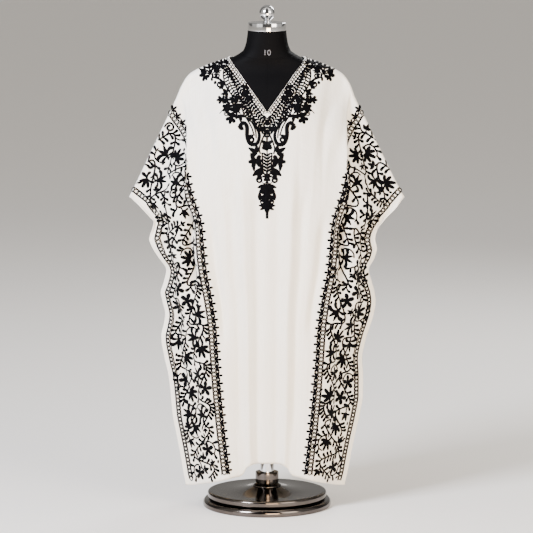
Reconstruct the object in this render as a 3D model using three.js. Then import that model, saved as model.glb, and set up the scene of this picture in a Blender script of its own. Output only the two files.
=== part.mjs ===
// Kaftan with a V neck, worn on a limbless dress form with a round foot.
// Millimetres, +Z up, the front looks along -Y, the floor is z = 0 under the foot's centre.
import * as THREE from 'three';

// Driving sizes of the kaftan
const WALL = 1.4;
const SEAM_GAP = 0.3;
const SEAT_GAP = 1.3;
const CHEST_GAP = 3.2;
const SHOULDER_END_GAP = 3;
const NECK_POINT_GAP = 2.6;
const NECK_HALF = 107;
const HALF_CLOTH = 600;
const NECK_POINT_HEIGHT = 1317;
const NECK_BACK_DROP = 16;
const V_POINT_HEIGHT = 1168;
const SLEEVE_TIP_HEIGHT = 912;
const SHOULDER_ROLL = 30;
const SLEEVE_ROLL = 9;
const SETTLE_DROP = 170;
const BODY_COLUMN = 250;

// Driving sizes of the form and its stand
const NECK_TOP = 1394;
const CAP_RADIUS = 55;
const CAP_HEIGHT = 24;
const STEM_RADIUS = 12.5;
const STEM_HEIGHT = 6;
const BALL_RADIUS = 22.5;
const TORSO_UNDERSIDE = 620;
const POLE_RADIUS = 20.5;
const COLLAR_RADIUS = 34;
const COLLAR_BOTTOM = 67.3;
const COLLAR_HEIGHT = 31.7;
const CONE_RADIUS = 41.5;
const CONE_BOTTOM = 57.3;
const PLATE_RADIUS = 174.6;
const PLATE_BOTTOM = 26.3;
const RING_RADIUS = 188;
const RING_TOP = 26;

// Finish of each piece
const CLOTH = { color: 0xf3f0e9, roughness: 0.85, metalness: 0 };
const JERSEY = { color: 0x17171a, roughness: 0.6, metalness: 0 };
const CHROME = { color: 0xc9ccd0, roughness: 0.12, metalness: 1 };
const DARK_CHROME = { color: 0x4a4644, roughness: 0.16, metalness: 1 };

// Torso outline: a row for each height, with half width and depths in front and behind
const TORSO = [
  { z: 620, half: 156, front: 94, back: 106 },
  { z: 632, half: 164, front: 101, back: 113 },
  { z: 720, half: 172, front: 108, back: 116 },
  { z: 800, half: 160, front: 104, back: 104 },
  { z: 880, half: 136, front: 98, back: 90 },
  { z: 930, half: 127, front: 94, back: 84 },
  { z: 1000, half: 135, front: 98, back: 86 },
  { z: 1060, half: 145, front: 107, back: 92 },
  { z: 1110, half: 153, front: 114, back: 96 },
  { z: 1160, half: 161, front: 108, back: 98 },
  { z: 1200, half: 172, front: 96, back: 98 },
  { z: 1240, half: 181, front: 78, back: 88 },
  { z: 1262, half: 185, front: 66, back: 79 },
  { z: 1276, half: 177, front: 58, back: 72 },
  { z: 1290, half: 162, front: 53, back: 64 },
  { z: 1302, half: 136, front: 51, back: 60 },
  { z: 1313, half: 108, front: 53, back: 60 },
  { z: 1326, half: 83, front: 54, back: 59 },
  { z: 1338, half: 68, front: 55, back: 58 },
  { z: 1366, half: 59, front: 56, back: 57 },
  { z: 1394, half: 56, front: 56, back: 56 },
];
const TORSO_POWER = 2.25;
const BUST = { x: 78, z: 1105, out: 17, wide: 44, tall: 52 };

// Top fold of the cloth from the neck point over the shoulder to the sleeve tip, one side
const TOP_LINE = [
  { across: 107, left: 110, right: 111, z: 1317 },
  { across: 178, left: 178, right: 176, z: 1293 },
  { across: 225, left: 223, right: 218, z: 1269 },
  { across: 263, left: 244, right: 239, z: 1240 },
  { across: 305, left: 262, right: 255, z: 1199 },
  { across: 365, left: 289, right: 284, z: 1141 },
  { across: 450, left: 331, right: 326, z: 1054 },
  { across: 590, left: 395, right: 393, z: 921 },
  { across: 600, left: 400, right: 399, z: 912 },
];

// Side edge of the cloth below the sleeve tip: distance out on each side, and how far it parts
const SIDE_EDGE = [
  { z: 912, left: 400, right: 399, parting: 0 },
  { z: 906, left: 393, right: 395, parting: 2 },
  { z: 880, left: 363, right: 373, parting: 20 },
  { z: 855, left: 339, right: 347, parting: 28 },
  { z: 842, left: 328, right: 336, parting: 30 },
  { z: 818, left: 333, right: 319, parting: 33 },
  { z: 792, left: 341, right: 313, parting: 34 },
  { z: 764, left: 331, right: 319, parting: 32 },
  { z: 736, left: 314, right: 312, parting: 27 },
  { z: 700, left: 293, right: 296, parting: 18 },
  { z: 660, left: 301, right: 306, parting: 6 },
  { z: 631, left: 310, right: 314, parting: 0 },
  { z: 605, left: 305, right: 317, parting: 0 },
  { z: 565, left: 297, right: 311, parting: 0 },
  { z: 535, left: 302, right: 302, parting: 0 },
  { z: 501, left: 309, right: 291, parting: 0 },
  { z: 434, left: 299, right: 278, parting: 0 },
  { z: 385, left: 288, right: 281, parting: 0 },
  { z: 330, left: 282, right: 281, parting: 0 },
  { z: 272, left: 277, right: 272, parting: 0 },
  { z: 217, left: 267, right: 260, parting: 0 },
  { z: 160, left: 256, right: 248, parting: 0 },
  { z: 94, left: 245, right: 236, parting: 0 },
  { z: 58, left: 239, right: 228, parting: 0 },
];

// Bottom edge: height of the hem at distances across the cloth
const HEM = [
  { across: 0, front: 140, back: 112 },
  { across: 60, front: 139, back: 111 },
  { across: 90, front: 137, back: 111 },
  { across: 115, front: 132, back: 110 },
  { across: 140, front: 123, back: 109 },
  { across: 165, front: 113, back: 107 },
  { across: 190, front: 106, back: 105 },
  { across: 215, front: 102, back: 102 },
  { across: 260, front: 97, back: 97 },
  { across: 300, front: 92, back: 93 },
  { across: 420, front: 77, back: 79 },
  { across: 600, front: 59, back: 59 },
];

// Level sections of the front: depth at the middle, then the body column that carries the fall of
// the cloth (its distance across the cloth, out to the side and forward), the turn of the cloth at
// the side edge in degrees, and the fullness of the band between them
const FRONT_SECTIONS = [
  { z: 1316, middle: 56, at: 250, out: 246, forward: 10, turn: 10, full: 0.3 },
  { z: 1270, middle: 74, at: 250, out: 241, forward: 22, turn: 10, full: 0.3 },
  { z: 1210, middle: 102, at: 252, out: 222, forward: 42, turn: 10, full: 0.3 },
  { z: 1175, middle: 118, at: 254, out: 210, forward: 54, turn: 12, full: 0.3 },
  { z: 1115, middle: 138, at: 257, out: 200, forward: 72, turn: 14, full: 0.3 },
  { z: 1070, middle: 140, at: 260, out: 197, forward: 82, turn: 15, full: 0.3 },
  { z: 1015, middle: 140, at: 266, out: 195, forward: 92, turn: 16, full: 0.3 },
  { z: 945, middle: 136, at: 278, out: 199, forward: 98, turn: 18, full: 0.3 },
  { z: 856, middle: 130, at: 290, out: 192, forward: 102, turn: 22, full: 0.35 },
  { z: 798, middle: 127, at: 292, out: 188, forward: 105, turn: 26, full: 0.35 },
  { z: 711, middle: 122, at: 292, out: 179, forward: 108, turn: 32, full: 0.4 },
  { z: 623, middle: 118, at: 290, out: 161, forward: 111, turn: 34, full: 0.42 },
  { z: 536, middle: 114, at: 288, out: 151, forward: 111, turn: 32, full: 0.38 },
  { z: 449, middle: 110, at: 285, out: 146, forward: 110, turn: 30, full: 0.35 },
  { z: 332, middle: 103, at: 280, out: 137, forward: 108, turn: 30, full: 0.34 },
  { z: 215, middle: 96, at: 274, out: 126, forward: 106, turn: 30, full: 0.34 },
  { z: 92, middle: 88, at: 266, out: 112, forward: 104, turn: 30, full: 0.34 },
  { z: 40, middle: 86, at: 264, out: 108, forward: 104, turn: 30, full: 0.34 },
];

// Level sections of the back, named alike; its cloth falls straighter
const BACK_SECTIONS = [
  { z: 1316, middle: 62, at: 250, out: 246, forward: 12, turn: 10, full: 0.3 },
  { z: 1270, middle: 84, at: 250, out: 241, forward: 28, turn: 10, full: 0.3 },
  { z: 1210, middle: 101, at: 252, out: 238, forward: 50, turn: 10, full: 0.3 },
  { z: 1115, middle: 104, at: 262, out: 233, forward: 70, turn: 14, full: 0.3 },
  { z: 1015, middle: 108, at: 270, out: 227, forward: 82, turn: 16, full: 0.3 },
  { z: 856, middle: 116, at: 290, out: 205, forward: 92, turn: 22, full: 0.35 },
  { z: 711, middle: 126, at: 300, out: 196, forward: 100, turn: 32, full: 0.4 },
  { z: 536, middle: 128, at: 310, out: 190, forward: 104, turn: 42, full: 0.45 },
  { z: 332, middle: 126, at: 316, out: 180, forward: 106, turn: 50, full: 0.5 },
  { z: 92, middle: 122, at: 320, out: 164, forward: 108, turn: 58, full: 0.5 },
  { z: 40, middle: 121, at: 320, out: 162, forward: 108, turn: 58, full: 0.5 },
];

// Tucks, where the cloth doubles back behind its own edge: distance across at the upper and lower
// end, half width along the cloth, reach of the doubling, heights between which it runs
const FRONT_TUCKS = [
  { name: 'behind the body column', upper: 262, lower: 352, half: 24, reach: 22, from: 1215, to: 820 },
];
const BACK_TUCKS = [
  { name: 'behind the back column', upper: 288, lower: 340, half: 28, reach: 26, from: 1180, to: 860 },
];

// Soft troughs and ridges: distance across at both ends, half width, depth (inward is positive),
// heights between which they run, and the share of the depth on the left and right halves
const FRONT_WAVES = [
  { name: 'side trough', upper: 330, lower: 400, half: 30, depth: 34, from: 980, to: 610, left: 1, right: 1 },
  { name: 'trough by the band', upper: 250, lower: 236, half: 22, depth: 17, from: 900, to: 470, left: 1, right: 0.8 },
  { name: 'notch under the sleeve', upper: 560, lower: 500, half: 26, depth: 20, from: 900, to: 730, left: 1, right: 0.9 },
  { name: 'middle of the band, upper', upper: 470, lower: 455, half: 34, depth: -16, from: 800, to: 520, left: 1, right: 1 },
  { name: 'middle of the band, lower', upper: 430, lower: 440, half: 36, depth: 12, from: 560, to: 160, left: 0.6, right: 1 },
  { name: 'outer band', upper: 520, lower: 500, half: 26, depth: 13, from: 640, to: 260, left: 1, right: 0.4 },
  { name: 'first middle ripple', upper: 40, lower: 62, half: 20, depth: 7, from: 1010, to: 20, left: 1, right: 0.7 },
  { name: 'second middle ripple', upper: 96, lower: 120, half: 22, depth: -8, from: 1040, to: 20, left: 1, right: 1.1 },
  { name: 'third middle ripple', upper: 150, lower: 168, half: 20, depth: 8, from: 980, to: 180, left: 0.8, right: 1 },
  { name: 'shoulder gather', upper: 200, lower: 214, half: 13, depth: 6, from: 1250, to: 1010, left: 1, right: 0.8 },
  { name: 'second gather', upper: 236, lower: 250, half: 12, depth: -5, from: 1240, to: 1040, left: 1, right: 0.8 },
  { name: 'sleeve ripple', upper: 400, lower: 430, half: 24, depth: 8, from: 1110, to: 880, left: 1, right: 0.7 },
  { name: 'outer sleeve ripple', upper: 480, lower: 505, half: 26, depth: -9, from: 1060, to: 860, left: 0.8, right: 1 },
];
const BACK_WAVES = [
  { name: 'middle fold', upper: 10, lower: 30, half: 34, depth: 16, from: 1080, to: -60, left: 1, right: 0.6 },
  { name: 'inner ridge', upper: 92, lower: 104, half: 30, depth: -15, from: 1120, to: -60, left: 0.9, right: 1 },
  { name: 'inner trough', upper: 160, lower: 176, half: 30, depth: 21, from: 1040, to: -60, left: 1, right: 0.8 },
  { name: 'outer ridge', upper: 232, lower: 250, half: 28, depth: -12, from: 900, to: -60, left: 1, right: 1 },
  { name: 'side trough', upper: 350, lower: 400, half: 34, depth: 28, from: 960, to: 420, left: 1, right: 0.9 },
  { name: 'band ridge', upper: 470, lower: 460, half: 34, depth: -14, from: 800, to: 200, left: 0.8, right: 1 },
  { name: 'sleeve ripple', upper: 420, lower: 450, half: 26, depth: 9, from: 1090, to: 880, left: 1, right: 0.8 },
];

// Grid of each panel: distances across at which columns stand, and the number of rows below
const FRONT_COLUMNS = [
  { to: 107, steps: 8 }, { to: 245, steps: 9 }, { to: 410, steps: 10 }, { to: 600, steps: 6 },
];
const BACK_COLUMNS = [
  { to: 107, steps: 7 }, { to: 260, steps: 7 }, { to: 400, steps: 6 }, { to: 600, steps: 5 },
];
const ROLL_DROPS = [0, 0.0012, 0.0045, 0.01, 0.018, 0.028, 0.042, 0.06, 0.083];
const FRONT_ROWS = 20;
const BACK_ROWS = 13;

// Smooth step from 0 to 1
function ease(value) {
  const t = Math.min(1, Math.max(0, value));
  return t * t * (3 - 2 * t);
}

// Slope of a table column at a row, flat where the values turn round
function slopeAt(rows, key, name, index) {
  const before = rows[index - 1];
  const here = rows[index];
  const after = rows[index + 1];
  if (!before || !after) return 0;
  const rise = (here[name] - before[name]) / (here[key] - before[key]);
  const fall = (after[name] - here[name]) / (after[key] - here[key]);
  return rise * fall <= 0 ? 0 : (2 * rise * fall) / (rise + fall);
}

// Value of a named column between the rows of a table, without overshoot
function tableValue(rows, key, name, at) {
  const growing = rows[1][key] > rows[0][key];
  const last = rows.length - 1;
  const beyond = (row) => (growing ? at >= row[key] : at <= row[key]);
  if (!beyond(rows[0])) return rows[0][name];
  if (beyond(rows[last])) return rows[last][name];
  let index = 0;
  while (beyond(rows[index + 1])) index += 1;
  const low = rows[index];
  const high = rows[index + 1];
  const span = high[key] - low[key];
  const t = (at - low[key]) / span;
  const startSlope = slopeAt(rows, key, name, index) * span;
  const endSlope = slopeAt(rows, key, name, index + 1) * span;
  const square = t * t;
  const cube = square * t;
  return low[name] * (2 * cube - 3 * square + 1) + startSlope * (cube - 2 * square + t)
    + high[name] * (3 * square - 2 * cube) + endSlope * (cube - square);
}

// Depth of the torso in front or behind at a distance from its middle
function torsoDepth(side, x, z) {
  const plain = tableValue(TORSO, 'z', side < 0 ? 'front' : 'back', z);
  if (side > 0) return plain;
  const wide = (Math.abs(x) - BUST.x) / BUST.wide;
  const tall = (z - BUST.z) / BUST.tall;
  return plain + BUST.out * Math.exp(-wide * wide - tall * tall);
}

// Level of the torso's outline at a point: 1 on its surface, more outside
function torsoLevel(point) {
  const half = tableValue(TORSO, 'z', 'half', point.z);
  const depth = torsoDepth(Math.sign(point.y) || 1, point.x, point.z);
  const wide = Math.abs(point.x / half) ** TORSO_POWER;
  const deep = Math.abs(point.y / depth) ** TORSO_POWER;
  return (wide + deep) ** (1 / TORSO_POWER);
}

// Moves a point of the cloth out until it is clear of the torso
function clearOfTorso(point, clearance) {
  if (point.z < TORSO_UNDERSIDE - 20) return point;
  const probe = 0.5;
  const moved = point.clone();
  for (let pass = 0; pass < 8; pass += 1) {
    const level = torsoLevel(moved) - 1;
    const gradient = new THREE.Vector3(
      torsoLevel(moved.clone().setX(moved.x + probe)) - torsoLevel(moved.clone().setX(moved.x - probe)),
      torsoLevel(moved.clone().setY(moved.y + probe)) - torsoLevel(moved.clone().setY(moved.y - probe)),
      torsoLevel(moved.clone().setZ(moved.z + probe)) - torsoLevel(moved.clone().setZ(moved.z - probe)),
    ).divideScalar(2 * probe);
    const distance = level / gradient.length();
    if (distance >= clearance) return moved;
    moved.addScaledVector(gradient.normalize(), (clearance - distance) * 0.9);
  }
  return moved;
}

// Distance across the cloth at which a level section meets the top fold or the side edge
function edgeAcross(z) {
  if (z <= SLEEVE_TIP_HEIGHT) return HALF_CLOTH;
  return tableValue([...TOP_LINE].reverse(), 'z', 'across', z);
}

// Distance of the edge out from the middle at a height, on one half
function edgeOut(half, z) {
  if (z <= SLEEVE_TIP_HEIGHT) return tableValue(SIDE_EDGE, 'z', half, z);
  return tableValue([...TOP_LINE].reverse(), 'z', half, z);
}

// Share of a fold that is there at a height
function foldShare(fold, z) {
  const long = fold.from - fold.to;
  const reach = Math.min(120, long * 0.4);
  return ease((fold.from - z) / reach) * ease((z - fold.to) / reach);
}

// Distance across at which a fold lies at a height
function foldAcross(fold, z) {
  const t = Math.min(1, Math.max(0, (fold.from - z) / (fold.from - fold.to)));
  return fold.upper + (fold.lower - fold.upper) * t;
}

// Level section before folding: distance out and depth at a distance across
function plainSection(panel, half, across, z) {
  const row = (name) => tableValue(panel.sections, 'z', name, z);
  const at = row('at');
  const out = row('out');
  const forward = row('forward');
  if (across <= at) {
    const share = across / at;
    const middle = row('middle');
    return { out: out * share, depth: forward + (middle - forward) * (1 - share ** 2.6) };
  }
  const last = Math.max(edgeAcross(z), at + 1);
  const t = Math.min(1, (across - at) / (last - at));
  const endOut = Math.max(edgeOut(half, z), out + 1);
  const endDepth = z < SLEEVE_TIP_HEIGHT ? tableValue(SIDE_EDGE, 'z', 'parting', z) : 0;
  const length = Math.hypot(endOut - out, forward - endDepth);
  const turn = (row('turn') * Math.PI) / 180;
  const pull = row('full') * length;
  const first = { out: out + pull, depth: forward };
  const second = { out: endOut - pull * Math.cos(turn), depth: endDepth + pull * Math.sin(turn) };
  const u = 1 - t;
  const blend = (a, b, c, d) => u * u * u * a + 3 * u * u * t * b + 3 * u * t * t * c + t * t * t * d;
  return {
    out: blend(out, first.out, second.out, endOut),
    depth: blend(forward, first.depth, second.depth, endDepth),
  };
}

// Level section with its tucks and waves
function foldedSection(panel, half, across, z) {
  const place = plainSection(panel, half, across, z);
  const ahead = plainSection(panel, half, across + 1, z);
  const behind = plainSection(panel, half, Math.max(0, across - 1), z);
  const along = { out: ahead.out - behind.out, depth: ahead.depth - behind.depth };
  const length = Math.hypot(along.out, along.depth) || 1;
  const inward = { out: along.depth / length, depth: -along.out / length };
  const nearEdge = ease((edgeAcross(z) - across) / 55);
  let { out, depth } = place;
  for (const wave of panel.waves) {
    const t = (across - foldAcross(wave, z)) / wave.half;
    const amount = wave.depth * wave[half] * foldShare(wave, z) * Math.exp(-t * t) * nearEdge;
    out += inward.out * amount;
    depth += inward.depth * amount;
  }
  for (const tuck of panel.tucks) {
    const t = (across - foldAcross(tuck, z)) / tuck.half;
    out -= tuck.reach * foldShare(tuck, z) * t * Math.exp((1 - t * t) / 2) * nearEdge;
  }
  return { out, depth };
}

// Top boundary of a panel at a distance across: height and distance out
function topBoundary(panel, half, across) {
  if (across < NECK_HALF) {
    const share = across / NECK_HALF;
    const corner = tableValue(TOP_LINE, 'across', half, NECK_HALF);
    const curve = panel.side < 0 ? share : share ** 2.4;
    const low = panel.neckLow;
    return { out: corner * share, z: low + (NECK_POINT_HEIGHT - low) * curve };
  }
  return {
    out: tableValue(TOP_LINE, 'across', half, across),
    z: tableValue(TOP_LINE, 'across', 'z', across),
  };
}

// Point of a panel's middle surface at a distance across and a share of the way down
function clothPoint(panel, half, across, down) {
  const top = topBoundary(panel, half, across);
  const hem = tableValue(HEM, 'across', panel.side < 0 ? 'front' : 'back', across);
  const z = top.z + (hem - top.z) * down;
  const drop = top.z - z;
  const settled = ease(drop / SETTLE_DROP);
  const section = foldedSection(panel, half, across, z);
  const held = settled + (1 - settled) * ease((across - BODY_COLUMN) / 60);
  const out = top.out + (section.out - top.out) * held;
  const level = Math.min(1, Math.abs(out) / tableValue(TORSO, 'z', 'half', z));
  const body = torsoDepth(panel.side, out, z) * (1 - level ** TORSO_POWER) ** (1 / TORSO_POWER);
  const onShoulder = ease((230 - across) / 60);
  const roll = SLEEVE_ROLL + (SHOULDER_ROLL - SLEEVE_ROLL) * onShoulder;
  const round = drop < roll ? Math.sqrt(2 * roll * drop - drop * drop) : roll;
  const start = across < NECK_HALF ? body : (round ** 4 + body ** 4) ** 0.25;
  let depth = start + (section.depth - start) * settled;
  if (across >= HALF_CLOTH) depth = section.depth * ease(drop / 30);
  const sign = half === 'left' ? -1 : 1;
  const point = new THREE.Vector3(sign * out, panel.side * depth, z);
  const inside = ease((NECK_HALF - across) / 2);
  const away = Math.max(ease((drop - 1) / 7), ease((across - 125) / 50), inside);
  const atNeckPoint = ease(1 - Math.abs(across - NECK_HALF) / 14) * ease(drop / 4);
  const gap = SEAT_GAP + (CHEST_GAP - SEAT_GAP) * away + SHOULDER_END_GAP * ease((across - 135) / 35)
    + NECK_POINT_GAP * atNeckPoint;
  return clearOfTorso(point, WALL / 2 + gap);
}

// Distances across at which the columns of one half stand, closing up towards the neck point
function columnPlaces(segments) {
  const places = [0];
  for (const { to, steps } of segments) {
    const from = places[places.length - 1];
    for (let step = 1; step <= steps; step += 1) {
      const left = 1 - step / steps;
      places.push(to - (to - from) * (to === NECK_HALF ? left * left : left));
    }
  }
  return places;
}

// Shares of the way down at which the rows stand, close together over the roll of the shoulder
function rowPlaces(count) {
  const places = [...ROLL_DROPS];
  const start = places[places.length - 1];
  for (let step = 1; step <= count; step += 1) places.push(start + ((1 - start) * step) / count);
  return places;
}

// Unit normal of a grid point, on the outer side of the panel
function gridNormal(grid, row, column, side) {
  const rows = grid.length;
  const columns = grid[0].length;
  const right = grid[row][Math.min(columns - 1, column + 1)];
  const left = grid[row][Math.max(0, column - 1)];
  const below = grid[Math.min(rows - 1, row + 1)][column];
  const above = grid[Math.max(0, row - 1)][column];
  const across = right.clone().sub(left);
  const down = below.clone().sub(above);
  return down.cross(across).normalize().multiplyScalar(side < 0 ? -1 : 1).negate();
}

// Closed mesh of a cloth panel from its middle surface
function clothPanel(panel) {
  const places = columnPlaces(panel.columns);
  const downs = rowPlaces(panel.rows);
  const columns = [...places.slice(1).reverse().map((across) => ['left', across]),
    ...places.map((across) => ['right', across])];
  const grid = downs.map((down) => columns.map(([half, across]) => clothPoint(panel, half, across, down)));
  const rows = grid.length;
  const width = columns.length;
  const limit = SEAM_GAP / 2;
  const layers = [[], []];
  for (let row = 0; row < rows; row += 1) {
    for (let column = 0; column < width; column += 1) {
      const normal = gridNormal(grid, row, column, panel.side);
      const atSide = column === 0 || column === width - 1;
      const atTop = row === 0 && columns[column][1] >= NECK_HALF;
      if (atTop && !atSide) normal.setY(0).normalize();
      const outer = grid[row][column].clone().addScaledVector(normal, WALL / 2);
      const inner = grid[row][column].clone().addScaledVector(normal, -WALL / 2);
      const nearest = Math.min(outer.y * panel.side, inner.y * panel.side);
      const shift = Math.max(0, limit - nearest) * panel.side;
      outer.y += shift;
      inner.y += shift;
      layers[0].push(outer);
      layers[1].push(inner);
    }
  }
  const count = rows * width;
  const faces = [];
  const face = (a, b, c) => faces.push(...(panel.side < 0 ? [a, b, c] : [a, c, b]));
  const at = (row, column) => row * width + column;
  for (let row = 0; row < rows - 1; row += 1) {
    for (let column = 0; column < width - 1; column += 1) {
      const a = at(row, column);
      const b = at(row, column + 1);
      const c = at(row + 1, column);
      const d = at(row + 1, column + 1);
      face(a, c, b);
      face(b, c, d);
      face(a + count, b + count, c + count);
      face(b + count, d + count, c + count);
    }
  }
  const rim = (a, b) => {
    face(a, b, a + count);
    face(b, b + count, a + count);
  };
  for (let column = 0; column < width - 1; column += 1) {
    rim(at(0, column), at(0, column + 1));
    rim(at(rows - 1, column + 1), at(rows - 1, column));
  }
  for (let row = 0; row < rows - 1; row += 1) {
    rim(at(row + 1, 0), at(row, 0));
    rim(at(row, width - 1), at(row + 1, width - 1));
  }
  return closedMesh([...layers[0], ...layers[1]], faces);
}

// Buffer geometry from points and faces
function closedMesh(points, faces) {
  const geometry = new THREE.BufferGeometry();
  const numbers = points.flatMap((point) => [point.x, point.y, point.z]);
  geometry.setAttribute('position', new THREE.Float32BufferAttribute(numbers, 3));
  geometry.setIndex(faces);
  geometry.computeVertexNormals();
  return geometry;
}

// Closed skin through the torso's level outlines
function torsoSkin() {
  const around = 36;
  const levels = [];
  for (let index = 0; index < TORSO.length - 1; index += 1) {
    const low = TORSO[index].z;
    const high = TORSO[index + 1].z;
    const steps = high - low > 60 ? 2 : 1;
    for (let step = 0; step < steps; step += 1) levels.push(low + ((high - low) * step) / steps);
  }
  levels.push(NECK_TOP);
  const points = [];
  for (const z of levels) {
    const half = tableValue(TORSO, 'z', 'half', z);
    for (let step = 0; step < around; step += 1) {
      const angle = (step / around) * Math.PI * 2;
      const wide = Math.sign(Math.cos(angle)) * Math.abs(Math.cos(angle)) ** (2 / TORSO_POWER);
      const deep = Math.sign(Math.sin(angle)) * Math.abs(Math.sin(angle)) ** (2 / TORSO_POWER);
      const x = half * wide;
      points.push(new THREE.Vector3(x, torsoDepth(Math.sin(angle) < 0 ? -1 : 1, x, z) * deep, z));
    }
  }
  const faces = [];
  for (let level = 0; level < levels.length - 1; level += 1) {
    for (let step = 0; step < around; step += 1) {
      const next = (step + 1) % around;
      const a = level * around + step;
      const b = level * around + next;
      faces.push(a, b, a + around, b, b + around, a + around);
    }
  }
  const top = (levels.length - 1) * around;
  const bottomMiddle = points.push(new THREE.Vector3(0, 0, TORSO_UNDERSIDE)) - 1;
  const topMiddle = points.push(new THREE.Vector3(0, 0, NECK_TOP)) - 1;
  for (let step = 0; step < around; step += 1) {
    const next = (step + 1) % around;
    faces.push(next, step, bottomMiddle);
    faces.push(top + step, top + next, topMiddle);
  }
  return closedMesh(points, faces);
}

// Turned solid about the upright axis from a closed profile of radius and height pairs
function turned(profile, segments) {
  const outline = profile.map(([radius, height]) => new THREE.Vector2(radius, height));
  const geometry = new THREE.LatheGeometry(outline, segments);
  geometry.rotateX(Math.PI / 2);
  return geometry;
}

// Neck cap with a rounded upper rim
function capProfile() {
  const bottom = NECK_TOP + SEAM_GAP;
  const top = bottom + CAP_HEIGHT;
  return [[0, bottom], [CAP_RADIUS - 1, bottom], [CAP_RADIUS, bottom + 1], [CAP_RADIUS, top - 3],
    [CAP_RADIUS - 1, top - 1], [CAP_RADIUS - 3, top], [0, top]];
}

// Stem and ball on the cap
function ballProfile() {
  const bottom = NECK_TOP + CAP_HEIGHT + 2 * SEAM_GAP;
  const centre = bottom + STEM_HEIGHT + BALL_RADIUS * 0.93;
  const profile = [[0, bottom], [STEM_RADIUS, bottom], [STEM_RADIUS, bottom + 2], [STEM_RADIUS - 2.5, bottom + 3],
    [STEM_RADIUS - 2.5, bottom + STEM_HEIGHT - 1]];
  const steps = 11;
  const first = -Math.acos((STEM_RADIUS - 3.5) / BALL_RADIUS);
  for (let step = 0; step <= steps; step += 1) {
    const angle = first + ((Math.PI / 2 - first) * step) / steps;
    const radius = step === steps ? 0 : BALL_RADIUS * Math.cos(angle);
    profile.push([radius, centre + BALL_RADIUS * Math.sin(angle)]);
  }
  return profile;
}

// Foot plate whose top rises to the cone ring in a flare
function plateProfile() {
  const top = CONE_BOTTOM - SEAM_GAP;
  const shoulder = PLATE_BOTTOM + 17;
  const profile = [[0, PLATE_BOTTOM], [PLATE_RADIUS - 4, PLATE_BOTTOM], [PLATE_RADIUS - 1, PLATE_BOTTOM + 2],
    [PLATE_RADIUS, PLATE_BOTTOM + 5], [PLATE_RADIUS, shoulder - 4], [PLATE_RADIUS - 2, shoulder - 1]];
  const steps = 8;
  for (let step = 0; step <= steps; step += 1) {
    const t = step / steps;
    const radius = PLATE_RADIUS - 6 - (PLATE_RADIUS - 6 - (CONE_RADIUS - 3)) * t;
    profile.push([radius, shoulder + (top - shoulder) * t ** 3.2]);
  }
  profile.push([0, top]);
  return profile;
}

// Lower ring of the foot, rounded outside and drawn in under the plate
function ringProfile() {
  return [[0, 0], [RING_RADIUS - 3, 0], [RING_RADIUS, 3], [RING_RADIUS, 12], [RING_RADIUS - 2, 17],
    [RING_RADIUS - 7, 20.5], [RING_RADIUS - 15, 22], [RING_RADIUS - 22, 23], [RING_RADIUS - 24, RING_TOP],
    [0, RING_TOP]];
}

// Cone ring between the flared plate and the collar
function coneProfile() {
  const top = COLLAR_BOTTOM - SEAM_GAP;
  return [[0, CONE_BOTTOM], [CONE_RADIUS - 1.5, CONE_BOTTOM], [CONE_RADIUS, CONE_BOTTOM + 1.5],
    [COLLAR_RADIUS - 0.5, top - 1], [COLLAR_RADIUS - 1.5, top], [0, top]];
}

// Collar round the lower end of the pole
function collarProfile() {
  const top = COLLAR_BOTTOM + COLLAR_HEIGHT;
  const bore = POLE_RADIUS + SEAM_GAP;
  return [[bore, COLLAR_BOTTOM], [COLLAR_RADIUS, COLLAR_BOTTOM], [COLLAR_RADIUS, top - 3],
    [COLLAR_RADIUS - 2, top], [bore + 4, top], [bore, top - 2], [bore, COLLAR_BOTTOM]];
}

// Named mesh with its own material
function piece(name, geometry, finish) {
  const mesh = new THREE.Mesh(geometry, new THREE.MeshStandardMaterial(finish));
  mesh.name = name;
  return mesh;
}

const FRONT = {
  side: -1, sections: FRONT_SECTIONS, tucks: FRONT_TUCKS, waves: FRONT_WAVES,
  columns: FRONT_COLUMNS, rows: FRONT_ROWS, neckLow: V_POINT_HEIGHT,
};
const BACK = {
  side: 1, sections: BACK_SECTIONS, tucks: BACK_TUCKS, waves: BACK_WAVES,
  columns: BACK_COLUMNS, rows: BACK_ROWS, neckLow: NECK_POINT_HEIGHT - NECK_BACK_DROP,
};

const poleBottom = COLLAR_BOTTOM;
const poleTop = TORSO_UNDERSIDE - SEAM_GAP;
const kaftan = new THREE.Group();
kaftan.name = 'kaftan_on_dress_form';
kaftan.add(
  piece('kaftan_front', clothPanel(FRONT), CLOTH),
  piece('kaftan_back', clothPanel(BACK), CLOTH),
  piece('dress_form', torsoSkin(), JERSEY),
  piece('neck_cap', turned(capProfile(), 36), CHROME),
  piece('ball_finial', turned(ballProfile(), 24), CHROME),
  piece('pole', turned([[0, poleBottom], [POLE_RADIUS, poleBottom], [POLE_RADIUS, poleTop], [0, poleTop]], 32), CHROME),
  piece('pole_collar', turned(collarProfile(), 28), DARK_CHROME),
  piece('cone_ring', turned(coneProfile(), 28), DARK_CHROME),
  piece('foot_plate', turned(plateProfile(), 40), DARK_CHROME),
  piece('foot_ring', turned(ringProfile(), 40), DARK_CHROME),
);

export default kaftan;
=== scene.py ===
"""Kaftan on a dress form: cotton panels, chain-stitch embroidery, jersey torso and chromed stand."""
import math

import bpy
import numpy as np
from bpy.props import FloatProperty, IntProperty, PointerProperty, StringProperty
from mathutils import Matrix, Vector
from numpy.linalg import norm


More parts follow.
